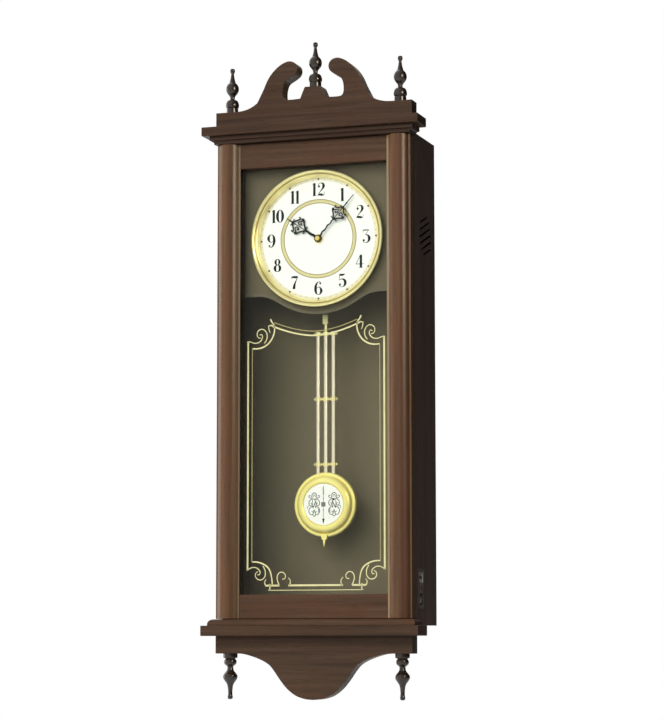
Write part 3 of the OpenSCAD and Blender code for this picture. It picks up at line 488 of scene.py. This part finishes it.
def soften(node, width, material, segs=2, angle=32.0):
    """a copy of a CAD node with eased edges, shown in its place"""
    src = NODES[node]
    me = src.data.copy()
    me.name = node + "_eased"
    bm = bmesh.new()
    bm.from_mesh(me)
    bmesh.ops.remove_doubles(bm, verts=bm.verts, dist=2e-6)
    bmesh.ops.dissolve_limit(bm, angle_limit=math.radians(0.4), verts=bm.verts, edges=bm.edges)
    bmesh.ops.recalc_face_normals(bm, faces=bm.faces)
    bm.to_mesh(me)
    bm.free()
    me.materials.clear()
    for a in list(me.attributes):
        if a.name.startswith("custom_normal"):
            me.attributes.remove(a)
    for p in me.polygons:
        p.use_smooth = True
    o = bpy.data.objects.new(node + "_eased", me)
    scene.collection.objects.link(o)
    b = o.modifiers.new("bevel", "BEVEL")
    b.width = width
    b.segments = segs
    b.limit_method = "ANGLE"
    b.angle_limit = math.radians(angle)
    b.miter_outer = "MITER_ARC"
    b.use_clamp_overlap = True
    w = o.modifiers.new("normals", "WEIGHTED_NORMAL")
    w.keep_sharp = True
    w.weight = 80
    bpy.context.view_layer.update()
    bake_modifiers(o)
    give(o, material)
    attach(o, body_of(node))
    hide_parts(node)
    return o


def cat(p0, p1, p2, p3, t):
    return tuple(0.5 * ((2 * b) + (c - a) * t + (2 * a - 5 * b + 4 * c - d) * t * t + (3 * b - a - 3 * c + d) * t ** 3)
                 for a, b, c, d in zip(p0, p1, p2, p3))


def curve(pts, n=8, closed=False):
    out = []
    L = len(pts)
    for i in range(L if closed else L - 1):
        g = (lambda k: pts[k % L]) if closed else (lambda k: pts[min(max(k, 0), L - 1)])
        for k in range(n):
            out.append(cat(g(i - 1), g(i), g(i + 1), g(i + 2), k / n))
    if not closed:
        out.append(tuple(pts[-1]))
    return out


class Flat:
    """thin flat solids in planes of constant Y, gathered into one mesh; x and z in mm"""

    def __init__(self):
        self.v, self.f = [], []

    def strip(self, left, right, y0, y1, closed=False):
        n = len(left)
        base = len(self.v)
        for (lx, lz), (rx, rz) in zip(left, right):
            self.v += [(lx, y0, lz), (rx, y0, rz), (rx, y1, rz), (lx, y1, lz)]
        m = n if closed else n - 1
        for i in range(m):
            a, b = base + 4 * i, base + 4 * ((i + 1) % n)
            for k in range(4):
                self.f.append((a + k, a + (k + 1) % 4, b + (k + 1) % 4, b + k))
        if not closed:
            self.f.append((base + 3, base + 2, base + 1, base))
            e = base + 4 * (n - 1)
            self.f.append((e, e + 1, e + 2, e + 3))

    def stroke(self, pts, y0, y1, n=8, closed=False, smooth=True):
        """pts are (x, z, width)"""
        c = curve(pts, n, closed) if smooth else [tuple(p) for p in pts]
        L = len(c)
        left, right = [], []
        for i in range(L):
            a = c[(i - 1) % L] if closed else c[max(i - 1, 0)]
            b = c[(i + 1) % L] if closed else c[min(i + 1, L - 1)]
            dx, dz = b[0] - a[0], b[1] - a[1]
            k = math.hypot(dx, dz) or 1.0
            w = max(c[i][2], 0.02) / 2
            nx, nz = -dz / k * w, dx / k * w
            left.append((c[i][0] + nx, c[i][1] + nz))
            right.append((c[i][0] - nx, c[i][1] - nz))
        self.strip(left, right, y0, y1, closed)

    def poly(self, pts, y0, y1):
        n = len(pts)
        base = len(self.v)
        self.v += [(x, y0, z) for x, z in pts] + [(x, y1, z) for x, z in pts]
        self.f.append(tuple(base + i for i in range(n)))
        self.f.append(tuple(base + n + i for i in reversed(range(n))))
        for i in range(n):
            j = (i + 1) % n
            self.f.append((base + i, base + n + i, base + n + j, base + j))

    def disc(self, x, z, r, y0, y1, n=24):
        self.poly([(x + r * math.cos(2 * math.pi * i / n), z + r * math.sin(2 * math.pi * i / n)) for i in range(n)], y0, y1)

    def ring(self, x, z, r0, r1, y0, y1, n=96):
        a = [(x + r0 * math.cos(2 * math.pi * i / n), z + r0 * math.sin(2 * math.pi * i / n)) for i in range(n)]
        b = [(x + r1 * math.cos(2 * math.pi * i / n), z + r1 * math.sin(2 * math.pi * i / n)) for i in range(n)]
        self.strip(a, b, y0, y1, True)

    def make(self, name, body, material):
        me = bpy.data.meshes.new(name)
        me.from_pydata([(x * MM, y * MM, z * MM) for x, y, z in self.v], [], self.f)
        bm = bmesh.new()
        bm.from_mesh(me)
        bmesh.ops.recalc_face_normals(bm, faces=bm.faces)
        bm.to_mesh(me)
        bm.free()
        return piece(name, me, body, material)


# --------------------------------------------------- wood of case and door --
soften("pediment", 0.0011, wood_pediment, 3)
soften("apron", 0.0011, wood_apron, 3)
soften("cornice_slab", 0.0012, wood_x, 3)
soften("base_slab", 0.0012, wood_x2, 3)
soften("base_step", 0.0004, wood_rail, 2)
soften("cornice_cove", 0.0003, wood_cove, 2)
soften("door_columns", 0.0006, wood_z, 2)
soften("door_stiles", 0.0006, wood_z2, 2)
soften("door_rails", 0.0007, wood_rail, 2)
# the glass beads in the reveal take the dark walnut as painted shade
soften("glass_beads", 0.0005, wood_dark_x, 2)
for n in ("case_side_left", "case_top", "case_bottom"):
    soften(n, 0.0008, wood_side, 2)
soften("cornice_block", 0.0006, wood_dark_x, 2)
soften("base_cleat", 0.0008, wood_dark_x, 2)
soften("hanging_rail", 0.0006, wood_inner, 2)
soften("dial_battens", 0.0006, wood_inner, 2)
soften("dial_board_trim", 0.0004, olive_trim, 2)
soften("slide_switch", 0.0003, black_pl, 2)
soften("pendulum_clip", 0.0004, pale_gold, 2)
soften("magnet_catch", 0.0004, white_pl, 2)

for n, m in {"case_side_right": wood_side_r, "back_panel": olive_back, "back_hatch": black_pl, "hanger_plate": steel, "dial_board": olive,
             "control_plate": plate_pl, "battery_holder": black_pl, "movement_case": black_pl, "upper_finials": wood_turned, "lower_finials": wood_turned, "finial_studs": steel, "back_screws": steel,
             "dial": dial_white, "bezel": gold_bezel, "movement_cover": black_pl, "dial_nut": gold, "hour_wheel": brass,
             "centre_arbor": gold, "minute_wheel": brass, "set_knob": black_pl, "drive_coil": copper,
             "circuit_board": green_bd, "batteries": cell, "pendulum_hanger": steel, "pendulum_rods": silver,
             "pendulum_crossbars": pale_gold, "pendulum_bob": gold_bob, "bob_medallion": cream_white, "bob_back": brass,
             "speaker": black_pl, "push_button": black_pl, "volume_wheel": grey_pl, "door_glass": glass,
             "hinge_leaves_door": brass, "hinge_leaves_case": brass, "hinge_pins": brass, "strike_plate": steel,
             "hour_hand": black_hand, "minute_hand": black_hand}.items():
    give(NODES[n], m)

# --------------------------------------------------------------- dial print --
DZ = Z(611.6)
DIGITS = {
    "1": ([[(0.20, 1.0, 0.17), (0.20, 0.0, 0.17)], [(0.20, 0.985, 0.03), (0.04, 0.86, 0.03)], [(0.06, 0.015, 0.03), (0.34, 0.015, 0.03)]], [], 0.36),
    "2": ([[(0.16, 0.73, 0.03), (0.13, 0.84, 0.035), (0.22, 0.95, 0.035), (0.36, 0.985, 0.05), (0.50, 0.92, 0.13), (0.555, 0.76, 0.18),
            (0.51, 0.61, 0.14), (0.40, 0.46, 0.08), (0.24, 0.27, 0.045), (0.10, 0.07, 0.03)],
           [(0.06, 0.04, 0.03), (0.20, 0.09, 0.12), (0.36, 0.085, 0.16), (0.50, 0.05, 0.10), (0.60, 0.13, 0.03), (0.62, 0.27, 0.03)]],
          [(0.18, 0.73, 0.085)], 0.66),
    "3": ([[(0.10, 0.965, 0.07), (0.34, 0.965, 0.075), (0.56, 0.965, 0.06)], [(0.115, 0.99, 0.035), (0.10, 0.80, 0.03)],
           [(0.55, 0.96, 0.035), (0.42, 0.78, 0.03), (0.29, 0.60, 0.03)],
           [(0.29, 0.60, 0.03), (0.44, 0.58, 0.08), (0.56, 0.47, 0.16), (0.59, 0.32, 0.19), (0.55, 0.14, 0.14), (0.42, 0.02, 0.06),
            (0.28, 0.01, 0.035), (0.15, 0.06, 0.035), (0.11, 0.16, 0.03)]], [(0.16, 0.19, 0.085)], 0.68),
    "4": ([[(0.44, 1.0, 0.17), (0.44, 0.0, 0.17)], [(0.40, 0.99, 0.035), (0.05, 0.30, 0.035)], [(0.03, 0.30, 0.04), (0.66, 0.30, 0.04)],
           [(0.28, 0.015, 0.03), (0.60, 0.015, 0.03)]], [], 0.68),
    "5": ([[(0.14, 0.93, 0.13), (0.34, 0.925, 0.14), (0.48, 0.95, 0.09), (0.56, 0.99, 0.02)], [(0.14, 0.98, 0.035), (0.12, 0.52, 0.03)],
           [(0.12, 0.52, 0.03), (0.22, 0.59, 0.045), (0.38, 0.60, 0.08), (0.53, 0.50, 0.16), (0.585, 0.32, 0.19), (0.53, 0.13, 0.13),
            (0.40, 0.02, 0.05), (0.26, 0.01, 0.035), (0.14, 0.07, 0.035), (0.11, 0.16, 0.03)]], [(0.16, 0.19, 0.085)], 0.68),
    "6": ([[(0.53, 0.87, 0.03), (0.48, 0.96, 0.035), (0.36, 0.985, 0.045), (0.22, 0.87, 0.10), (0.13, 0.66, 0.17), (0.11, 0.42, 0.19),
            (0.15, 0.17, 0.14), (0.26, 0.03, 0.05), (0.37, 0.012, 0.04), (0.50, 0.09, 0.11), (0.57, 0.28, 0.19), (0.51, 0.49, 0.11),
            (0.38, 0.58, 0.045), (0.26, 0.55, 0.03), (0.17, 0.44, 0.025)]], [(0.49, 0.86, 0.075)], 0.68),
    "7": ([[(0.09, 0.99, 0.03), (0.09, 0.76, 0.03)], [(0.10, 0.92, 0.10), (0.28, 0.93, 0.14), (0.46, 0.915, 0.15), (0.60, 0.95, 0.07)],
           [(0.60, 0.96, 0.03), (0.50, 0.76, 0.05), (0.38, 0.50, 0.10), (0.30, 0.25, 0.17), (0.28, 0.0, 0.19)]], [], 0.66),
    "0": ([], [], 0.64),
    "8": ([], [], 0.66),
}


def loop(f, cx, cz, rx, rz, thin, thick, x0, z0, k, y0, y1, n=48, power=1.6):
    pts = []
    for i in range(n):
        t = 2 * math.pi * i / n
        pts.append((x0 + k * (cx + rx * math.cos(t)), z0 + k * (cz + rz * math.sin(t)), k * 1.12 * (thin + thick * abs(math.cos(t)) ** power)))
    f.stroke(pts, y0, y1, closed=True, smooth=False)


def digit(f, d, x0, z0, k, y0, y1):
    """one numeral, its foot at (x0, z0), k mm tall"""
    if d == "0":
        loop(f, 0.32, 0.5, 0.215, 0.475, 0.035, 0.16, x0, z0, k, y0, y1)
        return 0.64
    if d == "8":
        loop(f, 0.33, 0.755, 0.155, 0.22, 0.035, 0.12, x0, z0, k, y0, y1)
        loop(f, 0.33, 0.275, 0.205, 0.255, 0.035, 0.15, x0, z0, k, y0 - 0.004, y1)
        return 0.66
    flip = d == "9"
    strokes, balls, w = DIGITS["6" if flip else d]
    for i, s in enumerate(strokes):
        p = [((0.68 - x, 1 - z, t) if flip else (x, z, t)) for x, z, t in s]
        f.stroke([(x0 + k * x, z0 + k * z, k * t * 1.12) for x, z, t in p], y0 - 0.004 * i, y1, smooth=len(p) > 2)
    for x, z, r in balls:
        if flip:
            x, z = 0.68 - x, 1 - z
        f.disc(x0 + k * x, z0 + k * z, k * r, y0 - 0.02, y1, 20)
    return w


def numeral(f, text, cx, cz, k, y0, y1):
    width = sum({"1": 0.36, "0": 0.64, "2": 0.66}.get(c, 0.68) for c in text) + 0.03 * (len(text) - 1)
    x = cx - k * width / 2
    for c in text:
        x += k * (digit(f, c, x, cz - k / 2, k, y0, y1) + 0.03)


F_DIAL = -90.0
f = Flat()
for h in range(1, 13):
    a = math.radians(30 * h)
    numeral(f, str(h), 66.9 * math.sin(a), DZ + 66.9 * math.cos(a), 17.6, F_DIAL - 0.12, F_DIAL)
for h in range(12):
    a = math.radians(30 * h)
    f.disc(80.9 * math.sin(a), DZ + 80.9 * math.cos(a), 1.25, F_DIAL - 0.12, F_DIAL, 18)
f.make("dial_numerals", "case", ink)
f = Flat()
for i in range(60):
    if i % 5:
        a = math.radians(6 * i)
        f.stroke([(r * math.sin(a), DZ + r * math.cos(a), 0.5) for r in (79.9, 81.6)], F_DIAL - 0.1, F_DIAL, smooth=False)
f.make("dial_minute_track", "case", ink_grey)
f = Flat()
f.ring(0, DZ, 78.8, 82.4, F_DIAL - 0.06, F_DIAL, 144)
f.make("dial_track_band", "case", track_beige)
f = Flat()
f.ring(0, DZ, 48.4, 53.4, F_DIAL - 0.14, F_DIAL, 128)
f.make("dial_gold_ring", "case", ring_gold)
f = Flat()
f.ring(0, DZ, 52.6, 53.6, F_DIAL - 0.16, F_DIAL, 128)
f.ring(0, DZ, 48.0, 48.9, F_DIAL - 0.16, F_DIAL, 128)
f.make("dial_ring_lines", "case", ring_line)


# --------------------------------------------------------------------- hands --
def hand(name, node, body, angle, r0, r1, tip, half, hub, bore, y0, y1, stem, k):
    """pierced scrollwork hand; u runs along the hand, v across it, k sets how heavy the strokes are"""
    f = Flat()
    ca, sa = math.cos(math.radians(angle)), math.sin(math.radians(angle))

    def put(pts, closed=False, n=8, smooth=True, dy=0.0):
        f.stroke([(u * sa + v * ca, DZ + u * ca - v * sa, w * k) for u, v, w in pts], y0 - dy, y1, n, closed, smooth)

    def ball(u, v, r, dy):
        f.disc(u * sa + v * ca, DZ + u * ca - v * sa, r * k, y0 - dy, y1, 16)

    L = r1 - r0
    # wavy stem with a bead in the middle
    st = []
    m = max(4, int((r0 - hub) / 3.2))
    for i in range(m + 1):
        t = i / m
        st.append((hub - 1 + (r0 - hub + 1.5) * t, 0.75 * math.sin(i * math.pi * 0.72) * (0.02 < t < 0.97), stem * (1.15 - 0.3 * t + 0.25 * (i % 2))))
    put(st)
    ball((hub + r0) / 2, 0.3, stem * 0.62, 0.03)
    # spine through the openwork
    M = (r0 + r1) / 2
    put([(r0 - 0.5, 0, 1.7), (r0 + 0.2 * L, 0, 0.9), (M, 0, 0.8), (r0 + 0.8 * L, 0, 0.9), (r1 + 0.5, 0, 1.7)], dy=0.02)
    for s in (-1, 1):
        h = half * s
        # four-sided frame: from the foot out to the wing, and from the wing up to the needle
        put([(r0, 0.02 * h, 1.9), (r0 + 0.13 * L, 0.20 * h, 1.8), (r0 + 0.30 * L, 0.56 * h, 1.6), (M - 0.06 * L, 0.98 * h, 1.7),
             (M + 0.03 * L, 1.06 * h, 1.4), (M + 0.07 * L, 0.90 * h, 1.3)], dy=0.03)
        put([(r1, 0.02 * h, 1.9), (r1 - 0.10 * L, 0.24 * h, 1.6), (r1 - 0.24 * L, 0.58 * h, 1.4), (r1 - 0.33 * L, 0.92 * h, 1.5),
             (r1 - 0.27 * L, 1.02 * h, 1.2), (r1 - 0.21 * L, 0.92 * h, 1.1)], dy=0.04)
        # curl inside each half
        put([(M - 0.03 * L, 0.78 * h, 1.3), (M + 0.12 * L, 0.56 * h, 1.2), (M + 0.15 * L, 0.30 * h, 1.2), (M + 0.03 * L, 0.20 * h, 1.1),
             (M - 0.07 * L, 0.34 * h, 1.2), (M - 0.02 * L, 0.48 * h, 1.4)], dy=0.05)
        # leaf at the foot and barb at the head
        put([(r0 + 0.10 * L, 0.16 * h, 1.5), (r0 + 0.06 * L, 0.40 * h, 1.3), (r0 + 0.10 * L, 0.56 * h, 0.6)], dy=0.06)
        put([(r1 - 0.10 * L, 0.20 * h, 1.2), (r1 - 0.02 * L, 0.36 * h, 1.1), (r1 - 0.03 * L, 0.50 * h, 0.5)], dy=0.06)
        for u, v, r in ((M - 0.01 * L, 0.86 * h, 1.2), (M - 0.03 * L, 0.44 * h, 0.9)):
            ball(u, v, r, 0.08)
    # needle with a small swelling and a bead at the tip
    q = r1 + 0.30 * (tip - r1)
    put([(r1, 0, 1.7), (r1 + 0.14 * (tip - r1), 0, 1.0), (q, 0, 1.9), (q + 0.12 * (tip - r1), 0, 1.0), (tip - 1.5, 0, 0.9), (tip, 0, 1.3)], dy=0.01)
    g = Flat()
    g.ring(0, DZ, bore, hub - 0.7, y0 - 0.1, y1, 40)
    g.make(name + "_hub", body, brass)
    f.ring(0, DZ, hub - 0.9, hub, y0, y1, 40)
    o = f.make(name, body, black_hand)
    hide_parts(node)
    return o


hand("minute_hand_scrolls", "minute_hand", "minute", 42.0, 32.5, 54.5, 76.0, 9.6, 4.2, 1.5, -94.4, -93.8, 1.5, 1.14)
hand("hour_hand_scrolls", "hour_hand", "hour", 303.5, 20.0, 43.8, 52.6, 10.6, 5.2, 2.5, -92.6, -92.0, 2.1, 1.22)

# -------------------------------------------------------- print on the glass --
G1, G0 = -101.97, -101.85


def zp(z):
    return -573.06 + (z - 142.0) * 0.99503


f = Flat()
thin = Flat()
T, t = 2.4, 0.95
for s in (-1, 1):
    def S(pts):
        return [(s * x, zp(z), w) for x, z, w in pts]
    f.stroke(S([(95.3, 168.3, T), (95.3, 476.2, T)]), G0, G1, smooth=False)
    thin.stroke(S([(89.3, 180.0, t), (89.3, 465.7, t)]), G0, G1, smooth=False)
    # upper corner
    f.stroke(S([(89.2, 465.9, 1.7), (82, 465.6, 1.9), (74, 467.3, 2.1), (66.2, 472.2, 2.0), (60.6, 480, 1.9), (57.8, 489, 1.7),
                (58.6, 497, 1.5), (61.4, 500.5, 1.6), (63.6, 504.9, 2.2)]), G0 - 0.01, G1)
    f.stroke(S([(95.3, 475.8, 1.9), (91.5, 475.0, 1.2), (86.0, 473.2, 1.2), (80.5, 474.0, 1.3), (76.6, 477.0, 1.4), (74.8, 481.4, 1.2),
                (76.4, 484.6, 1.1), (79.2, 483.8, 1.0)]), G0 - 0.02, G1)
    f.stroke(S([(72.2, 472.6, 1.2), (69.0, 477.5, 1.3), (68.4, 484, 1.3), (71.2, 489.6, 1.2), (76.3, 491.8, 1.2), (81.3, 489.3, 1.2),
                (82.6, 484.2, 1.1), (80.4, 480.3, 1.0), (77.2, 480.0, 1.0)]), G0 - 0.03, G1)
    f.stroke(S([(66.6, 495.6, 1.3), (62.0, 496.6, 1.5), (57.2, 496.2, 1.5)]), G0 - 0.03, G1)
    f.stroke(S([(66.4, 496.0, 1.2), (65.8, 491.5, 1.1), (64.2, 486.5, 0.8)]), G0 - 0.02, G1)
    # lower corner
    f.stroke(S([(89.2, 179.8, 1.5), (82, 179.6, 1.8), (74, 177.2, 2.0), (67.4, 173.0, 2.0), (63.4, 167.0, 1.8), (61.2, 158, 1.6), (60.4, 148.6, 1.6)]), G0 - 0.01, G1)
    f.stroke(S([(95.3, 168.8, 1.9), (91.0, 171.6, 1.2), (85.6, 172.6, 1.2), (80.6, 170.6, 1.3), (77.6, 166.6, 1.3), (78.6, 162.8, 1.1), (81.4, 163.0, 1.0)]), G0 - 0.02, G1)
    f.stroke(S([(73.6, 174.4, 1.2), (70.6, 168.4, 1.3), (70.4, 161.8, 1.3), (73.8, 156.8, 1.2), (79.2, 156.0, 1.2), (83.6, 159.4, 1.2),
                (83.8, 164.4, 1.1), (80.6, 167.0, 1.0)]), G0 - 0.03, G1)
    # bottom
    f.stroke(S([(50.5, 148.3, T), (69.7, 148.3, T)]), G0, G1, smooth=False)
    f.stroke(S([(63.8, 141.6, 1.5), (63.8, 150.6, 1.5)]), G0 - 0.03, G1, smooth=False)
    f.stroke(S([(69.7, 148.3, 1.8), (71.2, 152.5, 1.2), (69.2, 156.4, 1.0)]), G0 - 0.02, G1)
    f.stroke(S([(50.5, 148.3, 1.9), (52.6, 153.4, 1.4), (53.6, 159.6, 1.3), (50.6, 165.0, 1.2), (45.6, 165.6, 1.2), (42.0, 161.8, 1.1),
                (43.0, 157.4, 1.0), (46.6, 156.6, 1.0)]), G0 - 0.02, G1)
    f.stroke(S([(36.0, 147.6, 1.3), (35.2, 154.6, 1.1), (38.0, 158.6, 0.8)]), G0 - 0.03, G1)
f.stroke([(-38, zp(148.3), T), (38, zp(148.3), T)], G0, G1, smooth=False)
f.stroke([(-66, zp(142.0), t), (66, zp(142.0), t)], G0, G1, smooth=False)


def sag(x, w, lift):
    u = abs(x) / 62.0
    return (x, zp(480.5 + lift + 15.4 * u ** 1.75), w)


f.stroke([sag(x, 2.0, 0.0) for x in range(-62, 63, 4)], G0, G1)
thin.stroke([sag(x, 1.0, 5.8) for x in range(-58, 59, 4)], G0, G1)
f.make("glass_border_print", "door", ink_gold)
thin.make("glass_border_thin_lines", "door", ink_gold2)

# ----------------------------------------------------- ornament on the bob --
BZ = Z(257.0)
M0 = -69.6
f = Flat()
# needle with a square boss and an arrow head
f.stroke([(0, BZ + 13.5, 0.7), (0, BZ - 20, 0.7)], M0 - 0.12, M0, smooth=False)
f.stroke([(0, BZ + 23.8, 1.2), (0, BZ + 13.0, 1.5)], M0 - 0.13, M0, smooth=False)
f.poly([(-2.9, BZ - 2.9), (2.9, BZ - 2.9), (2.9, BZ + 2.9), (-2.9, BZ + 2.9)], M0 - 0.14, M0)
f.make("bob_needle_print", "pendulum", ink_needle)
f = Flat()
f.poly([(-1.9, BZ - 18.6), (0, BZ - 19.6), (1.9, BZ - 18.6), (1.0, BZ - 21.4), (0.5, BZ - 25.0), (-0.5, BZ - 25.0), (-1.0, BZ - 21.4)], M0 - 0.15, M0)
for q in (-1, 1):
    f.disc(0, BZ + q * 7.6, 0.7, M0 - 0.16, M0, 12)
for s, cx in ((-1, -12.8), (1, 15.0)):
    f.disc(cx - s * 0.6, BZ + 6.6, 1.5 if s > 0 else 0.9, M0 - 0.17, M0, 14)
    f.stroke([(cx - s * 2.1, BZ + 4.4, 0.8), (cx - s * 0.4, BZ + 0.4, 1.2), (cx + s * 1.9, BZ - 4.6, 0.8)], M0 - 0.16, M0)
    f.stroke([(cx - s * 5.4, BZ - 5.4, 0.5), (cx - s * 6.3, BZ - 8.4, 0.9), (cx - s * 5.0, BZ - 11.2, 0.5)], M0 - 0.16, M0)
f.make("bob_dark_print", "pendulum", ink)
f = Flat()
for s, cx in ((-1, -12.8), (1, 15.0)):
    def P(*pts):
        return [(cx + s * u, BZ + v, w) for u, v, w in pts]
    # leaf on top, with a smaller one inside
    f.stroke(P((-3.3, 9.2, 0.9), (-3.2, 12.4, 1.0), (-1.6, 15.0, 1.1), (1.4, 15.2, 1.1), (3.3, 12.6, 1.0), (3.4, 9.2, 0.9)), M0 - 0.12, M0)
    f.stroke(P((-1.5, 9.4, 0.7), (-1.2, 11.8, 0.8), (0.2, 13.0, 0.8), (1.5, 11.6, 0.8), (1.6, 9.4, 0.7)), M0 - 0.12, M0)
    for q in (-1, 1):
        d = 0.01 * q
        # curl beside the leaf
        f.stroke(P((q * 2.6, 8.6, 0.9), (q * 5.0, 8.6, 0.9), (q * 7.3, 9.8, 0.9), (q * 7.4, 11.8, 0.8), (q * 5.8, 12.0, 0.8), (q * 5.5, 10.8, 0.9)), M0 - 0.13 - d, M0)
        # scroll at the waist
        f.stroke(P((q * 0.8, 7.4, 0.9), (q * 4.2, 7.0, 1.0), (q * 7.0, 4.2, 1.0), (q * 7.2, 0.2, 1.0), (q * 5.0, -1.6, 0.9), (q * 3.2, 0.0, 0.8),
                   (q * 3.8, 1.9, 0.8), (q * 5.1, 1.6, 0.9)), M0 - 0.14 - d, M0)
        # long scroll down the side
        f.stroke(P((q * 1.0, -2.4, 0.9), (q * 4.4, -3.2, 1.0), (q * 7.2, -6.2, 1.0), (q * 7.3, -10.2, 1.0), (q * 4.8, -13.4, 0.9), (q * 2.0, -12.8, 0.8),
                   (q * 1.7, -10.2, 0.8), (q * 3.5, -9.2, 0.9)), M0 - 0.15 - d, M0)
        f.stroke(P((q * 2.2, 6.4, 0.9), (q * 2.6, 1.6, 0.8), (q * 1.9, -4.8, 0.9)), M0 - 0.13 + d, M0)
        f.stroke(P((q * 0.2, -7.4, 0.8), (q * 1.0, -9.2, 0.6)), M0 - 0.13 + d, M0)
    f.stroke(P((0, -7.0, 0.8), (1.3, -11.6, 0.9), (1.9, -14.0, 1.0), (0, -15.6, 1.0), (-1.9, -14.0, 1.0), (-1.3, -11.6, 0.9)), M0 - 0.12, M0, closed=True)
    f.stroke(P((7.6, -1.4, 0.8), (9.4, -3.4, 0.7), (9.2, -5.6, 0.5)), M0 - 0.12, M0)
f.make("bob_medallion_print", "pendulum", ink_olive)

# --------------------------------------------------------------- the studio --
def area(name, pos, target, size, power, color=(1, 1, 1)):
    l = bpy.data.lights.new(name, "AREA")
    l.shape = "SQUARE"
    l.size = size
    l.energy = power
    l.color = color
    o = bpy.data.objects.new(name, l)
    scene.collection.objects.link(o)
    o.location = pos
    d = Vector(target) - Vector(pos)
    o.rotation_euler = d.to_track_quat("-Z", "Y").to_euler()
    return o


key = area("key", (-1.3, -2.7, 1.6), (0, 0, -0.3), 1.7, 51)
front_l = area("front", (0.2, -4.6, 1.1), (0, 0, -0.3), 2.4, 71)
left_l = area("left", (-3.4, -0.38, 0.1), (0, -0.1, -0.3), 0.9, 38)
streak = area("streak", (2.3, -1.7, 0.64), (0.1, -0.1, -0.05), 1.05, 58, (1.0, 0.90, 0.68))
edge_l = area("edge", (-3.6, -0.34, -0.2), (0, -0.12, -0.3), 0.8, 20, (1.0, 0.97, 0.86))
edge_l.data.shape = "RECTANGLE"
edge_l.data.size_y = 2.4
for o in (streak, edge_l):
    o.visible_diffuse = False
for o in (key, front_l, left_l):
    o.visible_glossy = False

world = bpy.data.worlds.new("studio")
scene.world = world
world.use_nodes = True
wt = world.node_tree
wt.nodes.clear()


def wnode(kind, **inp):
    n = wt.nodes.new(kind)
    for k, v in inp.items():
        s = n.inputs[k] if not k.startswith("i") or not k[1:].isdigit() else n.inputs[int(k[1:])]
        if hasattr(v, "is_linked"):
            wt.links.new(v, s)
        else:
            s.default_value = v
    return n


def wrange(x, lo, hi, a, b):
    n = wnode("ShaderNodeMapRange", i0=x, i1=lo, i2=hi, i3=a, i4=b)
    n.interpolation_type = "SMOOTHSTEP"
    return n.outputs["Result"]


# bright to the left of the clock, in front of it and behind; dim on its right
sep = wnode("ShaderNodeSeparateXYZ", i0=wt.nodes.new("ShaderNodeTexCoord").outputs["Generated"])
dx, dy, dz = sep.outputs[0], sep.outputs[1], sep.outputs[2]
front = wrange(dx, -0.3, 0.75, 1.0, 0.09)
back = wrange(dx, -0.20, 0.15, 1.6, 0.02)
isback = wrange(dy, -0.15, 0.25, 0.0, 1.0)
mixf = wnode("ShaderNodeMix")
mixf.data_type = "FLOAT"
wt.links.new(isback, mixf.inputs[0])
wt.links.new(front, mixf.inputs[2])
wt.links.new(back, mixf.inputs[3])
glossy = mixf.outputs[0]
lp = wt.nodes.new("ShaderNodeLightPath")
soft = wnode("ShaderNodeMath", i0=glossy, i1=wrange(dz, -0.75, -0.05, 0.50, 1.24))
soft.operation = "MULTIPLY"
pick = wnode("ShaderNodeMix")
pick.data_type = "FLOAT"
wt.links.new(lp.outputs["Is Glossy Ray"], pick.inputs[0])
wt.links.new(soft.outputs[0], pick.inputs[2])
wt.links.new(glossy, pick.inputs[3])
amb = wnode("ShaderNodeBackground", i0=(1, 1, 1, 1), i1=pick.outputs[0])
seen = wnode("ShaderNodeBackground", i0=(1, 1, 1, 1), i1=1.0)
wm = wnode("ShaderNodeMixShader", i0=lp.outputs["Is Camera Ray"], i1=amb.outputs[0], i2=seen.outputs[0])
wo = wnode("ShaderNodeOutputWorld", i0=wm.outputs[0])

# floor, well below the hanging clock
me = bpy.data.meshes.new("floor")
me.from_pydata([(-4, -4, -1.1), (4, -4, -1.1), (4, 4, -1.1), (-4, 4, -1.1)], [], [(0, 1, 2, 3)])
floor = bpy.data.objects.new("floor", me)
scene.collection.objects.link(floor)
give(floor, paint("floor paint", lin(238, 238, 235), 0.7, 0.01, 8.0, 0.02))
floor.visible_diffuse = False
